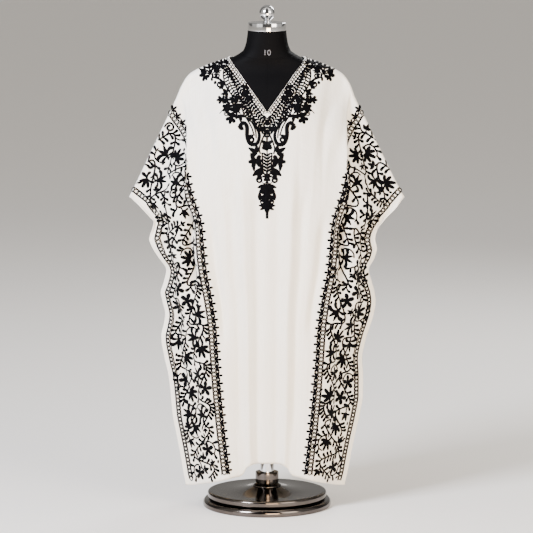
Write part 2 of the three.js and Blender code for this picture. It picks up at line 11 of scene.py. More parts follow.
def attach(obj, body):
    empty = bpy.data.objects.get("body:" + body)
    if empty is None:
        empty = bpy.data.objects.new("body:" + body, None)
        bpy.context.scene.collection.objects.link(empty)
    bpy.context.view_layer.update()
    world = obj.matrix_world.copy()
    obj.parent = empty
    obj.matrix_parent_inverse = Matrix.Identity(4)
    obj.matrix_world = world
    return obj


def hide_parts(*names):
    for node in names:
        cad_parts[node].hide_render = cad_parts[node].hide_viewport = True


bl_info = {
    "name": "Kaftan on a dress form",
    "version": (1, 0, 0),
    "blender": (4, 5, 0),
    "location": "View3D > Sidebar > Kaftan",
    "description": "Builds the kaftan's cloth and embroidery, the dress form and its stand",
    "category": "Object",
}

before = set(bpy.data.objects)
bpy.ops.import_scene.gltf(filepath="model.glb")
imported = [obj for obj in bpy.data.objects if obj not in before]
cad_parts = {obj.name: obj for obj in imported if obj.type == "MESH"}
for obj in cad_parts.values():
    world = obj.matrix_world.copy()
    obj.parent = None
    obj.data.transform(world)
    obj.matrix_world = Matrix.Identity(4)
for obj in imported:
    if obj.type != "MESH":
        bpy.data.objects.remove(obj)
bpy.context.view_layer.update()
MM = 0.001

# Sizes that the cloth shares with its solids, in millimetres
NECK_HALF = 107
HALF_CLOTH = 600
NECK_POINT_HEIGHT = 1317
NECK_BACK_HEIGHT = 1301
V_POINT_HEIGHT = 1168
SLEEVE_TIP_HEIGHT = 912
SHOULDER_ROLL = 30
SLEEVE_ROLL = 9
SETTLE_DROP = 170
BODY_COLUMN = 250
TORSO_UNDERSIDE = 620
TORSO_POWER = 2.25
NECK_TOP = 1394
SEAM_GAP = 0.3

# Other sizes of the form and its stand
NUMBER_HEIGHT = 1334.5
BALL_RADIUS = 22.5
POLE_RADIUS = 20.5

# Share of each panel's height that its rolled top edge takes up, with finer rows
ROLLED_SHARE = 0.083

# Stitches: length, width, thread and pointedness of the links, inset and start of the two rows at the
# neck, and how far from the edge and how close together the running stitches of the side hems are
BAND_LINK = (15.5, 10.5, 3.1, 1.3)
NECK_LINK = (11.5, 6.2, 2.3, 1.2)
NECK_ROWS = ((4.6, 0.5), (11.0, 1.0))
HEM_INSET = 13.0
HEM_PITCH = 5.5


def table(names, *rows):
    """Rows of numbers as named columns."""
    return {name: np.array(column) for name, column in zip(names.split(), zip(*rows))}


def lookup(rows, key, name, at):
    """Smooth value of a column between a table's rows, without overshoot."""
    x, y = rows[key], rows[name]
    if x[0] > x[-1]:
        x, y = x[::-1], y[::-1]
    rise = np.diff(y) / np.diff(x)
    slope = np.zeros(len(x))
    both = rise[:-1] * rise[1:]
    total = np.where(both > 0, rise[:-1] + rise[1:], 1.0)
    slope[1:-1] = np.where(both > 0, 2 * both / total, 0.0)
    at = np.clip(at, x[0], x[-1])
    low = np.clip(np.searchsorted(x, at, side="right") - 1, 0, len(x) - 2)
    span = x[low + 1] - x[low]
    t = (at - x[low]) / span
    t2, t3 = t * t, t * t * t
    return (y[low] * (2 * t3 - 3 * t2 + 1) + slope[low] * span * (t3 - 2 * t2 + t)
            + y[low + 1] * (3 * t2 - 2 * t3) + slope[low + 1] * span * (t3 - t2))


def ease(value):
    """Smooth step from 0 to 1."""
    t = np.clip(value, 0.0, 1.0)
    return t * t * (3 - 2 * t)


def unit(vectors, least=1e-9):
    """Vectors brought to a length of one, unless they are shorter than the least."""
    return vectors / np.maximum(norm(vectors, axis=-1, keepdims=True), least)


def run_along(points):
    """Length of a line up to each of its points."""
    return np.concatenate([[0], np.cumsum(norm(np.diff(points, axis=0), axis=1))])


# Torso outline: half width and depths in front and behind at each height
TORSO = table(
    "z half front back",
    (620, 156, 94, 106), (632, 164, 101, 113), (720, 172, 108, 116), (800, 160, 104, 104),
    (880, 136, 98, 90), (930, 127, 94, 84), (1000, 135, 98, 86), (1060, 145, 107, 92),
    (1110, 153, 114, 96), (1160, 161, 108, 98), (1200, 172, 96, 98), (1240, 181, 78, 88),
    (1262, 185, 66, 79), (1276, 177, 58, 72), (1290, 162, 53, 64), (1302, 136, 51, 60),
    (1313, 108, 53, 60), (1326, 83, 54, 59), (1338, 68, 55, 58), (1366, 59, 56, 57),
    (1394, 56, 56, 56),
)
BUST = {"x": 78, "z": 1105, "out": 17, "wide": 44, "tall": 52}

# Top fold from the neck point over the shoulder to the sleeve tip
TOP_LINE = table(
    "across left right z",
    (107, 110, 111, 1317), (178, 178, 176, 1293), (225, 223, 218, 1269), (263, 244, 239, 1240),
    (305, 262, 255, 1199), (365, 289, 284, 1141), (450, 331, 326, 1054), (590, 395, 393, 921),
    (600, 400, 399, 912),
)

# Side edge below the sleeve tip, and how far front and back part there
SIDE_EDGE = table(
    "z left right parting",
    (912, 400, 399, 0), (906, 393, 395, 2), (880, 363, 373, 20), (855, 339, 347, 28),
    (842, 328, 336, 30), (818, 333, 319, 33), (792, 341, 313, 34), (764, 331, 319, 32),
    (736, 314, 312, 27), (700, 293, 296, 18), (660, 301, 306, 6), (631, 310, 314, 0),
    (605, 305, 317, 0), (565, 297, 311, 0),
    (535, 302, 302, 0), (501, 309, 291, 0), (434, 299, 278, 0), (385, 288, 281, 0),
    (330, 282, 281, 0), (272, 277, 272, 0), (217, 267, 260, 0), (160, 256, 248, 0),
    (94, 245, 236, 0), (58, 239, 228, 0),
)

# Height of the hem at distances across the cloth
HEM = table(
    "across front back",
    (0, 140, 112), (60, 139, 111), (90, 138, 111), (115, 135, 110), (138, 128, 109), (160, 111, 107),
    (185, 103, 105), (215, 101, 102), (260, 97, 97), (300, 92, 93), (420, 77, 79), (600, 59, 59),
)

# Level sections: depth in the middle, the body column, the turn at the edge and the band's fullness
FRONT_SECTIONS = table(
    "z middle at out forward turn full",
    (1316, 56, 250, 246, 10, 10, 0.3), (1270, 74, 250, 241, 22, 10, 0.3),
    (1210, 102, 252, 222, 42, 10, 0.3), (1175, 118, 254, 210, 54, 12, 0.3),
    (1115, 138, 257, 200, 72, 14, 0.3), (1070, 140, 260, 197, 82, 15, 0.3),
    (1015, 140, 266, 195, 92, 16, 0.3), (945, 136, 278, 199, 98, 18, 0.3),
    (856, 130, 290, 192, 102, 22, 0.35), (798, 127, 292, 188, 105, 26, 0.35),
    (711, 122, 292, 179, 108, 32, 0.4), (623, 118, 290, 161, 111, 34, 0.42),
    (536, 114, 288, 151, 111, 32, 0.38), (449, 110, 285, 146, 110, 30, 0.35),
    (332, 103, 280, 137, 108, 30, 0.34), (215, 96, 274, 126, 106, 30, 0.34),
    (92, 88, 266, 112, 104, 30, 0.34), (40, 86, 264, 108, 104, 30, 0.34),
)
BACK_SECTIONS = table(
    "z middle at out forward turn full",
    (1316, 62, 250, 246, 12, 10, 0.3), (1270, 84, 250, 241, 28, 10, 0.3),
    (1210, 101, 252, 238, 50, 10, 0.3), (1115, 104, 262, 233, 70, 14, 0.3),
    (1015, 108, 270, 227, 82, 16, 0.3), (856, 116, 290, 205, 92, 22, 0.35),
    (711, 126, 300, 196, 100, 32, 0.4), (536, 128, 310, 190, 104, 42, 0.45),
    (332, 126, 316, 180, 106, 50, 0.5), (92, 122, 320, 164, 108, 58, 0.5),
    (40, 121, 320, 162, 108, 58, 0.5),
)

# Tucks and waves of the cloth: where across at the upper and lower end, half width, reach or depth,
# the heights between which each runs, and its share on the left and right halves
FRONT_TUCKS = table("upper lower half reach begin end", (262, 352, 24, 22, 1215, 820))
BACK_TUCKS = table("upper lower half reach begin end", (288, 340, 28, 26, 1180, 860))
FOLD_COLUMNS = "upper lower half depth begin end left right"
FRONT_WAVES = table(
    FOLD_COLUMNS,
    (330, 400, 30, 34, 980, 610, 1, 1), (250, 236, 22, 17, 900, 470, 1, 0.8),
    (560, 500, 26, 20, 900, 730, 1, 0.9), (470, 455, 34, -16, 800, 520, 1, 1),
    (430, 440, 36, 12, 560, 160, 0.6, 1), (520, 500, 26, 13, 640, 260, 1, 0.4),
    (40, 62, 20, 7, 1010, 20, 1, 0.7), (96, 120, 22, -8, 1040, 20, 1, 1.1),
    (150, 168, 20, 8, 980, 180, 0.8, 1), (200, 214, 13, 6, 1250, 1010, 1, 0.8),
    (236, 250, 12, -5, 1240, 1040, 1, 0.8), (400, 430, 24, 8, 1110, 880, 1, 0.7),
    (480, 505, 26, -9, 1060, 860, 0.8, 1),
)
BACK_WAVES = table(
    FOLD_COLUMNS,
    (10, 30, 34, 16, 1080, -60, 1, 0.6), (92, 104, 30, -15, 1120, -60, 0.9, 1),
    (160, 176, 30, 21, 1040, -60, 1, 0.8), (232, 250, 28, -12, 900, -60, 1, 1),
    (350, 400, 34, 28, 960, 420, 1, 0.9), (470, 460, 34, -14, 800, 200, 0.8, 1),
    (420, 450, 26, 9, 1090, 880, 1, 0.8),
)

# Finer creases that only the cloth's skin carries
FRONT_CREASES = table(
    FOLD_COLUMNS,
    (18, 30, 9, 1.6, 1120, 300, 1, 0.4), (66, 84, 8, -1.6, 1080, 420, 0.6, 1),
    (122, 138, 9, 2.0, 1150, 520, 1, 0.8), (178, 186, 8, -2.2, 1180, 700, 1, 0.7),
    (206, 222, 6, 2.4, 1245, 900, 1, 0.9), (226, 236, 6, -2.2, 1240, 940, 0.9, 1),
    (246, 258, 6, 2.4, 1235, 960, 1, 0.7), (192, 190, 9, 1.8, 700, 60, 0.8, 1),
    (226, 232, 8, -1.8, 760, 160, 1, 0.8), (440, 470, 9, 2.4, 1080, 860, 1, 1),
    (520, 546, 9, -2.0, 990, 840, 1, 0.6), (380, 372, 9, 2.2, 760, 380, 0.8, 1),
    (560, 552, 8, -2.4, 700, 330, 1, 1), (486, 476, 9, 2.0, 420, 60, 1, 0.8),
)
BACK_CREASES = table(
    FOLD_COLUMNS,
    (54, 70, 12, 2.4, 1160, 200, 1, 0.6), (128, 140, 10, -2.4, 1130, 160, 0.7, 1),
    (206, 216, 9, 2.2, 1210, 300, 1, 0.9), (300, 320, 10, -2.2, 860, 80, 1, 0.7),
    (520, 540, 10, 2.2, 980, 300, 0.8, 1),
)

# Inner line of the side band, as a distance across the cloth at each height
BAND_LINE = table(
    "z front back",
    (1180, 338, 338), (1115, 326, 326), (1015, 308, 308), (945, 290, 300), (856, 296, 300),
    (711, 298, 306), (536, 292, 314), (332, 284, 320), (92, 270, 322), (40, 268, 322),
)


def rows_of(rows):
    """The rows of a table, one dictionary each."""
    names = list(rows)
    return [dict(zip(names, values)) for values in zip(*rows.values())]


def torso_depth(side, x, z):
    """Depth of the torso in front or behind."""
    if side > 0:
        return lookup(TORSO, "z", "back", z)
    wide = (np.abs(x) - BUST["x"]) / BUST["wide"]
    tall = (z - BUST["z"]) / BUST["tall"]
    return lookup(TORSO, "z", "front", z) + BUST["out"] * np.exp(-wide * wide - tall * tall)


def torso_level(side, points):
    """Level of the torso's outline at points: 1 on its surface, more outside."""
    x, y, z = points
    wide = np.abs(x / lookup(TORSO, "z", "half", z)) ** TORSO_POWER
    deep = np.abs(y / torso_depth(side, x, z)) ** TORSO_POWER
    return (wide + deep) ** (1 / TORSO_POWER)


def clear_of_torso(side, points, clearance):
    """Points moved out until they are clear of the torso."""
    moved = points.copy()
    near = points[2] > TORSO_UNDERSIDE - 20
    for _ in range(8):
        here = moved[:, near]
        level = torso_level(side, here) - 1
        slope = np.empty_like(here)
        for axis in range(3):
            step = np.zeros((3, 1))
            step[axis] = 0.5
            slope[axis] = torso_level(side, here + step) - torso_level(side, here - step)
        steep = norm(slope, axis=0)
        push = np.maximum(clearance[near] - level / steep, 0) * 0.9
        moved[:, near] = here + slope / steep * push
    return moved


def fold_share(fold, z):
    """Share of a fold that is there at each height."""
    reach = min(120.0, (fold["begin"] - fold["end"]) * 0.4)
    return ease((fold["begin"] - z) / reach) * ease((z - fold["end"]) / reach)


def fold_across(fold, z):
    """Distance across at which a fold lies at each height."""
    t = np.clip((fold["begin"] - z) / (fold["begin"] - fold["end"]), 0, 1)
    return fold["upper"] + (fold["lower"] - fold["upper"]) * t


def edge_across(z):
    """Distance across at which a level section meets the top fold or the side edge."""
    return np.where(z <= SLEEVE_TIP_HEIGHT, HALF_CLOTH, lookup(TOP_LINE, "z", "across", z))


def plain_section(panel, half, across, z):
    """Level section before folding: distance out and depth."""
    rows = panel["sections"]
    row = {name: lookup(rows, "z", name, z) for name in rows if name != "z"}
    share = across / row["at"]
    inner_out = row["out"] * share
    inner_depth = row["forward"] + (row["middle"] - row["forward"]) * (1 - np.abs(share) ** 2.6)
    last = np.maximum(edge_across(z), row["at"] + 1)
    t = np.clip((across - row["at"]) / (last - row["at"]), 0, 1)
    sleeve = z > SLEEVE_TIP_HEIGHT
    end_out = np.where(sleeve, lookup(TOP_LINE, "z", half, z), lookup(SIDE_EDGE, "z", half, z))
    end_out = np.maximum(end_out, row["out"] + 1)
    end_depth = np.where(z < SLEEVE_TIP_HEIGHT, lookup(SIDE_EDGE, "z", "parting", z), 0)
    pull = row["full"] * np.hypot(end_out - row["out"], row["forward"] - end_depth)
    turn = np.radians(row["turn"])
    u = 1 - t
    weights = (u ** 3, 3 * u * u * t, 3 * u * t * t, t ** 3)
    outs = (row["out"], row["out"] + pull, end_out - pull * np.cos(turn), end_out)
    depths = (row["forward"], row["forward"], end_depth + pull * np.sin(turn), end_depth)
    band_out = sum(w * value for w, value in zip(weights, outs))
    band_depth = sum(w * value for w, value in zip(weights, depths))
    inner = across <= row["at"]
    return np.where(inner, inner_out, band_out), np.where(inner, inner_depth, band_depth)


def folded_section(panel, half, across, z):
    """Level section with its tucks, waves and creases."""
    out, depth = plain_section(panel, half, across, z)
    ahead = plain_section(panel, half, across + 1, z)
    behind = plain_section(panel, half, np.maximum(0, across - 1), z)
    along = (ahead[0] - behind[0], ahead[1] - behind[1])
    length = np.maximum(np.hypot(*along), 1e-6)
    near_edge = ease((edge_across(z) - across) / 55)
    for fold in rows_of(panel["waves"]) + rows_of(panel["creases"]):
        t = (across - fold_across(fold, z)) / fold["half"]
        amount = fold["depth"] * fold[half] * fold_share(fold, z) * np.exp(-t * t) * near_edge
        out = out + along[1] / length * amount
        depth = depth - along[0] / length * amount
    for tuck in rows_of(panel["tucks"]):
        t = (across - fold_across(tuck, z)) / tuck["half"]
        out = out - tuck["reach"] * fold_share(tuck, z) * t * np.exp((1 - t * t) / 2) * near_edge
    return out, depth


def cloth_points(panel, half, across, down):
    """Middle surface of one half of a panel, as rows of points in millimetres."""
    share = np.clip(across / NECK_HALF, 0, 1)
    in_neck = across < NECK_HALF
    curve = share if panel["side"] < 0 else share ** 2.4
    corner = lookup(TOP_LINE, "across", half, NECK_HALF)
    top_out = np.where(in_neck, corner * share, lookup(TOP_LINE, "across", half, across))
    neck_z = panel["neck"] + (NECK_POINT_HEIGHT - panel["neck"]) * curve
    top_z = np.where(in_neck, neck_z, lookup(TOP_LINE, "across", "z", across))
    hem_z = lookup(HEM, "across", panel["hem"], across)
    z = top_z + (hem_z - top_z) * down
    drop = top_z - z
    settled = ease(drop / SETTLE_DROP)
    section_out, section_depth = folded_section(panel, half, across, z)
    held = settled + (1 - settled) * ease((across - BODY_COLUMN) / 60)
    out = top_out + (section_out - top_out) * held
    level = np.minimum(1, np.abs(out) / lookup(TORSO, "z", "half", z))
    body = torso_depth(panel["side"], out, z) * (1 - level ** TORSO_POWER) ** (1 / TORSO_POWER)
    roll = SLEEVE_ROLL + (SHOULDER_ROLL - SLEEVE_ROLL) * ease((230 - across) / 60)
    arc = np.sqrt(np.maximum(2 * roll * drop - drop * drop, 0))
    arc = np.where(drop < roll, arc, roll)
    start = np.where(in_neck, body, (arc ** 4 + body ** 4) ** 0.25)
    depth = start + (section_depth - start) * settled
    depth = np.where(across >= HALF_CLOTH, section_depth * ease(drop / 30), depth)
    sign = -1 if half == "left" else 1
    flat = np.stack([sign * out.ravel(), panel["side"] * depth.ravel(), z.ravel()])
    away = np.maximum(ease((drop - 1) / 7), ease((across - 125) / 50))
    away = np.maximum(away, ease((NECK_HALF - across) / 2))
    gap = 1.9 + 2.0 * away + 3 * ease((across - 135) / 35)
    gap = gap + 2.6 * ease(1 - np.abs(across - NECK_HALF) / 14) * ease(drop / 4)
    moved = clear_of_torso(panel["side"], flat, gap.ravel())
    return moved.T.reshape(*z.shape, 3)


PANELS = {
    "front": {
        "side": -1, "sections": FRONT_SECTIONS, "tucks": FRONT_TUCKS, "waves": FRONT_WAVES,
        "creases": FRONT_CREASES, "neck": V_POINT_HEIGHT, "hem": "front",
    },
    "back": {
        "side": 1, "sections": BACK_SECTIONS, "tucks": BACK_TUCKS, "waves": BACK_WAVES,
        "creases": BACK_CREASES, "neck": NECK_BACK_HEIGHT, "hem": "back",
    },
}


def column_places(segments):
    """Distances across of the columns of one half, closing up towards the neck point."""
    places = [0.0]
    for to, steps in segments:
        begin = places[-1]
        for step in range(1, steps + 1):
            left = 1 - step / steps
            places.append(to - (to - begin) * (left ** 1.7 if to == NECK_HALF else left))
    return np.array(places)


class ClothSurface:
    """Grid of a panel's outer face with the lengths that the embroidery is set out on."""

    def __init__(self, name, wall):
        panel = PANELS[name]
        self.name = name
        self.side = panel["side"]
        self.places = column_places([(107, 26), (245, 26), (410, 40), (600, 34)])
        rolled = ROLLED_SHARE * np.linspace(0, 1, 26) ** 2
        self.down = np.concatenate([rolled, np.linspace(ROLLED_SHARE, 1, 141)[1:]])
        across, down = np.meshgrid(self.places, self.down)
        left = cloth_points(panel, "left", across, down)
        right = cloth_points(panel, "right", across, down)
        self.middle = np.concatenate([left[:, :0:-1], right], axis=1)
        self.across = np.concatenate([-self.places[:0:-1], self.places])
        self.smooth(3)
        normal = self.grid_normal(self.middle)
        normal[0, np.abs(self.across) >= NECK_HALF, 1] = 0
        self.normal = unit(normal)
        self.outer = self.middle + self.normal * wall / 2
        self.inner = self.middle - self.normal * wall / 2
        nearest = np.minimum(self.outer[..., 1] * self.side, self.inner[..., 1] * self.side)
        shift = np.maximum(SEAM_GAP / 2 - nearest, 0) * self.side
        self.outer[..., 1] += shift
        self.inner[..., 1] += shift
        steps = norm(np.diff(self.outer, axis=1), axis=2)
        self.run = np.concatenate([np.zeros((len(steps), 1)), np.cumsum(steps, axis=1)], axis=1)
        falls = norm(np.diff(self.outer, axis=0), axis=2)
        self.fall = np.concatenate([np.zeros((1, falls.shape[1])), np.cumsum(falls, axis=0)], axis=0)
        self.row_slope = np.gradient(self.outer, axis=0)
        self.column_slope = np.gradient(self.outer, axis=1)

    def smooth(self, passes):
        """Evens out the inner points of the grid."""
        for _ in range(passes):
            grid = self.middle
            mean = (grid[:-2, 1:-1] + grid[2:, 1:-1] + grid[1:-1, :-2] + grid[1:-1, 2:]) / 4
            share = np.ones(mean.shape[:2])[..., None] * 0.35
            share[:3] = 0
            grid[1:-1, 1:-1] += (mean - grid[1:-1, 1:-1]) * share

    def grid_normal(self, grid):
        """Unit normals of the grid on the panel's outer side."""
        down = np.gradient(grid, axis=0)
        across = np.gradient(grid, axis=1)
        normal = np.cross(down, across)
        return unit(-normal if self.side > 0 else normal)

    def sample(self, field, row, column):
        """Values of a grid field at fractional rows and columns."""
        height, width = field.shape[:2]
        row = np.clip(row, 0, height - 1.001)
        column = np.clip(column, 0, width - 1.001)
        r, c = row.astype(int), column.astype(int)
        a, b = row - r, column - c
        if field.ndim == 3:
            a, b = a[..., None], b[..., None]
        return ((field[r, c] * (1 - b) + field[r, c + 1] * b) * (1 - a)
                + (field[r + 1, c] * (1 - b) + field[r + 1, c + 1] * b) * a)

    def step_for(self, row, column, target):
        """Row and column steps that move along the surface by a vector."""
        down = self.sample(self.row_slope, row, column)
        across = self.sample(self.column_slope, row, column)
        a = np.sum(down * down, axis=-1)
        b = np.sum(down * across, axis=-1)
        d = np.sum(across * across, axis=-1)
        p = np.sum(down * target, axis=-1)
        q = np.sum(across * target, axis=-1)
        det = np.maximum(a * d - b * b, 1e-9)
        return (p * d - q * b) / det, (a * q - b * p) / det

    def upright(self, row, column):
        """Up and right on the cloth at a place, as seen from outside."""
        normal = self.sample(self.normal, np.array([row]), np.array([column]))[0]
        up = np.array([0, 0, 1.0]) - normal * normal[2]
        up /= norm(up)
        return up, np.cross(up, normal)

    def local(self, row, column, offsets):
        """Rows and columns of points given to the right and up from an anchor."""
        up, right = self.upright(row, column)
        target = (offsets[:, :1] * right + offsets[:, 1:] * up) / 3
        reach = norm(target, axis=1, keepdims=True)
        rows, columns = np.full(len(offsets), row), np.full(len(offsets), column)
        for _ in range(3):
            steps = self.step_for(rows, columns, target)
            rows, columns = rows + steps[0], columns + steps[1]
            normal = self.sample(self.normal, rows, columns)
            target = target - normal * np.sum(target * normal, axis=1, keepdims=True)
            target *= reach / np.maximum(norm(target, axis=1, keepdims=True), 1e-6)
        return np.stack([rows, columns], axis=1)

    def seen(self, x, z):
        """Rows and columns of points given as they are seen from the front, in millimetres."""
        x, z = np.asarray(x, float), np.asarray(z, float)
        height, width = self.outer.shape[:2]
        coarse = self.outer[::3, ::3]
        flat = coarse[..., [0, 2]].reshape(-1, 2)
        wide = coarse.shape[1]
        found = np.array([np.argmin((flat[:, 0] - a) ** 2 + (flat[:, 1] - b) ** 2) for a, b in zip(x, z)])
        row = (found // wide * 3).astype(float)
        column = (found % wide * 3).astype(float)
        for _ in range(7):
            here = self.sample(self.outer, row, column)
            down = self.sample(self.row_slope, row, column)
            across = self.sample(self.column_slope, row, column)
            ex, ez = x - here[:, 0], z - here[:, 2]
            det = down[:, 0] * across[:, 2] - down[:, 2] * across[:, 0]
            det = np.where(np.abs(det) < 1e-6, 1e-6, det)
            lower = np.clip((ex * across[:, 2] - ez * across[:, 0]) / det, -3, 3)
            aside = np.clip((down[:, 0] * ez - down[:, 2] * ex) / det, -3, 3)
            row, column = np.clip(row + lower, 0, height - 1), np.clip(column + aside, 0, width - 1)
        return np.stack([row, column], axis=1)

    def march(self, lane, towards, distance):
        """Line at a distance beside another on the cloth, towards the middle (-1) or the edge (1)."""
        row, column = lane[:, 0].copy(), lane[:, 1].copy()
        line_points = self.sample(self.outer, row, column)
        along = np.gradient(line_points, axis=0)
        normal = self.sample(self.normal, row, column)
        aside = unit(np.cross(along, normal))
        outward = np.sign(line_points[:, 0])[:, None] * towards
        flip = np.sign(aside[:, :1] * outward)
        aside = aside * np.where(flip == 0, 1, flip)
        steps = max(1, int(np.ceil(np.max(np.abs(distance)) / 4)))
        for _ in range(steps):
            move = self.step_for(row, column, aside * np.reshape(distance, (-1, 1)) / steps)
            row, column = row + move[0], column + move[1]
            normal = self.sample(self.normal, row, column)
            aside = unit(aside - normal * np.sum(aside * normal, axis=1, keepdims=True))
        return np.stack([row, column], axis=1)

    def beside(self, line, towards, distance):
        """Line at a distance beside another, from the top fold down to the start of the hem."""
        drop = self.sample(self.fall, *line.T)
        clear = drop > 40
        lane = self.march(line[clear], towards, np.broadcast_to(distance, len(line))[clear])
        ends = self.sample(self.outer, *line[[np.argmax(drop > 1), np.argmax(clear)]].T)
        rise = (ends[:1] - ends[1:]) / norm(ends[0] - ends[1])
        walked = [lane[0]]
        while self.sample(self.fall, *walked[-1]) > 24 and len(walked) < 40:
            move = self.step_for(walked[-1][:1], walked[-1][1:], rise * 3)
            walked.append(walked[-1] + np.concatenate(move))
        walked = np.array(walked[::-1])
        drop = self.sample(self.fall, *walked.T)
        last = min(4, len(walked) - 1)
        slope = (walked[0, 1] - walked[last, 1]) / (drop[0] - drop[last])
        drops = np.arange(1.0, drop[0], 3.0)
        columns = walked[0, 1] + (drops - drop[0]) * slope
        rows = np.arange(len(self.down))
        found = [np.interp(d, self.fall[:, int(np.clip(c, 0, len(self.across) - 1))], rows)
                 for d, c in zip(drops, columns)]
        lane = np.concatenate([np.stack([found, columns], 1), walked, lane[1:]])
        bottom = self.sample(self.fall, np.full(len(lane), len(self.down) - 1.0), lane[:, 1])
        return lane[bottom - self.sample(self.fall, *lane.T) > BAND_END]

    def set_out_bands(self):
        """Lines of each band's braids and the lane between them."""
        rows = np.arange(len(self.down), dtype=float)
        middle = len(self.across) // 2
        self.bands = {}
        for half, sign in (("left", -1), ("right", 1)):
            edge_column = 0.0 if half == "left" else float(len(self.across) - 1)
            heights = self.outer[:, :, 2]
            gap = (self.across - lookup(BAND_LINE, "z", self.name, heights) * sign) * sign
            side = np.arange(middle, -1, -1) if half == "left" else np.arange(middle, len(self.across))
            crossing = np.argmax(gap[:, side] >= 0, axis=1)
            outer_gap = gap[np.arange(len(rows)), side[crossing]]
            inner_gap = gap[np.arange(len(rows)), side[np.maximum(crossing - 1, 0)]]
            share = outer_gap / np.maximum(outer_gap - inner_gap, 1e-9)
            inner = np.stack([rows, side[crossing] - sign * share], 1)
            edge = np.stack([rows, np.full(len(rows), edge_column)], 1)
            strip = lookup(HEM_STRIP, "z", "width", heights[:, int(edge_column)])
            band = {"edge": edge, "sprigs": self.beside(inner, -1, 7.0)}
            for index, name in enumerate(("", "_middle", "_far")):
                band["inner" + name] = self.beside(inner, 1, BRAID_WIDTH / 2 * index)
                band["outer" + name] = self.beside(edge, -1, strip + BRAID_WIDTH / 2 * index)
            low = np.interp(rows, band["inner_far"][:, 0], band["inner_far"][:, 1])
            high = np.interp(rows, band["outer_far"][:, 0], band["outer_far"][:, 1])
            centre = self.sample(self.outer, rows, (low + high) / 2)
            low, high = (self.sample(self.run, rows, columns) for columns in (low, high))
            band.update({"fall": run_along(centre), "low": low, "high": high, "wide": np.abs(high - low)})
            self.bands[half] = band

    def lane_place(self, band, fall, share):
        """Row and column at a length down a band's lane and a share across it."""
        rows = np.arange(len(self.down))
        row = float(np.interp(fall, band["fall"], rows))
        run = np.interp(row, rows, band["low"] + (band["high"] - band["low"]) * share)
        low = min(int(row), len(rows) - 2)
        columns = np.arange(self.run.shape[1])
        first, second = (np.interp(run, self.run[k], columns) for k in (low, low + 1))
        return np.array([row, first + (second - first) * (row - low)])


def thick_mesh(name, surface):
    """Closed mesh of a panel with its UV map in metres along the threads."""
    rows, columns = surface.outer.shape[:2]
    count = rows * columns
    points = np.concatenate([surface.outer.reshape(-1, 3), surface.inner.reshape(-1, 3)]) * MM
    index = np.arange(count).reshape(rows, columns)
    a, b = index[:-1, :-1].ravel(), index[:-1, 1:].ravel()
    c, d = index[1:, :-1].ravel(), index[1:, 1:].ravel()
    faces = np.concatenate([np.stack([a, c, d, b], 1), np.stack([a, b, d, c], 1) + count])
    rim = np.concatenate([index[0], index[1:, -1], index[-1, -2::-1], index[-2:0:-1, 0]])
    after = np.roll(rim, -1)
    faces = np.concatenate([faces, np.stack([rim, after, after + count, rim + count], 1)])
    if surface.side > 0:
        faces = faces[:, ::-1]
    mesh = mesh_from(name, points, faces)
    across = surface.run - surface.run[:, [columns // 2]]
    uv = np.stack([across.ravel(), -surface.fall.ravel()], 1) * MM
    set_uv(mesh, np.concatenate([uv, uv]))
    return mesh


def mesh_from(name, points, faces):
    """Mesh from arrays of points and quads."""
    mesh = bpy.data.meshes.new(name)
    mesh.vertices.add(len(points))
    mesh.vertices.foreach_set("co", np.asarray(points, np.float32).ravel())
    mesh.loops.add(faces.size)
    mesh.loops.foreach_set("vertex_index", faces.astype(np.int32).ravel())
    mesh.polygons.add(len(faces))
    mesh.polygons.foreach_set("loop_start", np.arange(len(faces), dtype=np.int32) * faces.shape[1])
    mesh.update(calc_edges=True)
    mesh.validate()
    mesh.polygons.foreach_set("use_smooth", np.ones(len(mesh.polygons), bool))
    return mesh


def set_uv(mesh, uv):
    """Stores a UV pair for each vertex in the mesh's UV map."""
    layer = mesh.uv_layers.new(name="UVMap")
    corner = np.empty(len(mesh.loops), np.int32)
    mesh.loops.foreach_get("vertex_index", corner)
    layer.data.foreach_set("uv", np.asarray(uv, np.float32)[corner].ravel())


def smooth_mesh(name, points, faces, sharp=0):
    """Smooth mesh from points in metres, with corners sharp that turn by more than an angle in degrees."""
    mesh = bpy.data.meshes.new(name)
    mesh.from_pydata(points, [], faces)
    mesh.polygons.foreach_set("use_smooth", np.ones(len(mesh.polygons), bool))
    if sharp:
        mesh.set_sharp_from_angle(angle=math.radians(sharp))
    return mesh


def new_object(name, data):
    """Object in the scene."""
    item = bpy.data.objects.new(name, data)
    bpy.context.scene.collection.objects.link(item)
    return item


def new_piece(mesh, material, slot):
    """Object of a finished mesh that rides on the body."""
    piece = new_object(mesh.name, mesh)
    if not mesh.materials:
        mesh.materials.append(material)
    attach(piece, "root")
    return piece


# Materials


def linear(hex_colour):
    """Linear colour of an sRGB hex value."""
    value = hex_colour.lstrip("#")
    parts = [int(value[i:i + 2], 16) / 255 for i in (0, 2, 4)]
    return [p / 12.92 if p <= 0.04045 else ((p + 0.055) / 1.055) ** 2.4 for p in parts] + [1.0]


def add_node(tree, kind, settings=None, links=None):
    """Adds a node with settings and links: a short kind is a shader's, a node gives its first output."""
    node = tree.nodes.new(kind if "Node" in kind else "ShaderNode" + kind)
    for key, value in (settings or {}).items():
        if isinstance(key, int) or key in node.inputs:
            node.inputs[key].default_value = value
        else:
            setattr(node, key, value)
    for socket, source in (links or {}).items():
        tree.links.new(getattr(source, "outputs", [source])[0], node.inputs[socket])
    return node


def new_material(name):
    """Material with an empty node tree."""
    material = bpy.data.materials.new(name)
    material.use_nodes = True
    material.node_tree.nodes.clear()
    return material, material.node_tree


def finish_material(tree, settings, links=None):
    """Ends a node tree in its Principled shader and output."""
    shader = add_node(tree, "BsdfPrincipled", settings, links)
    add_node(tree, "OutputMaterial", links={"Surface": shader})


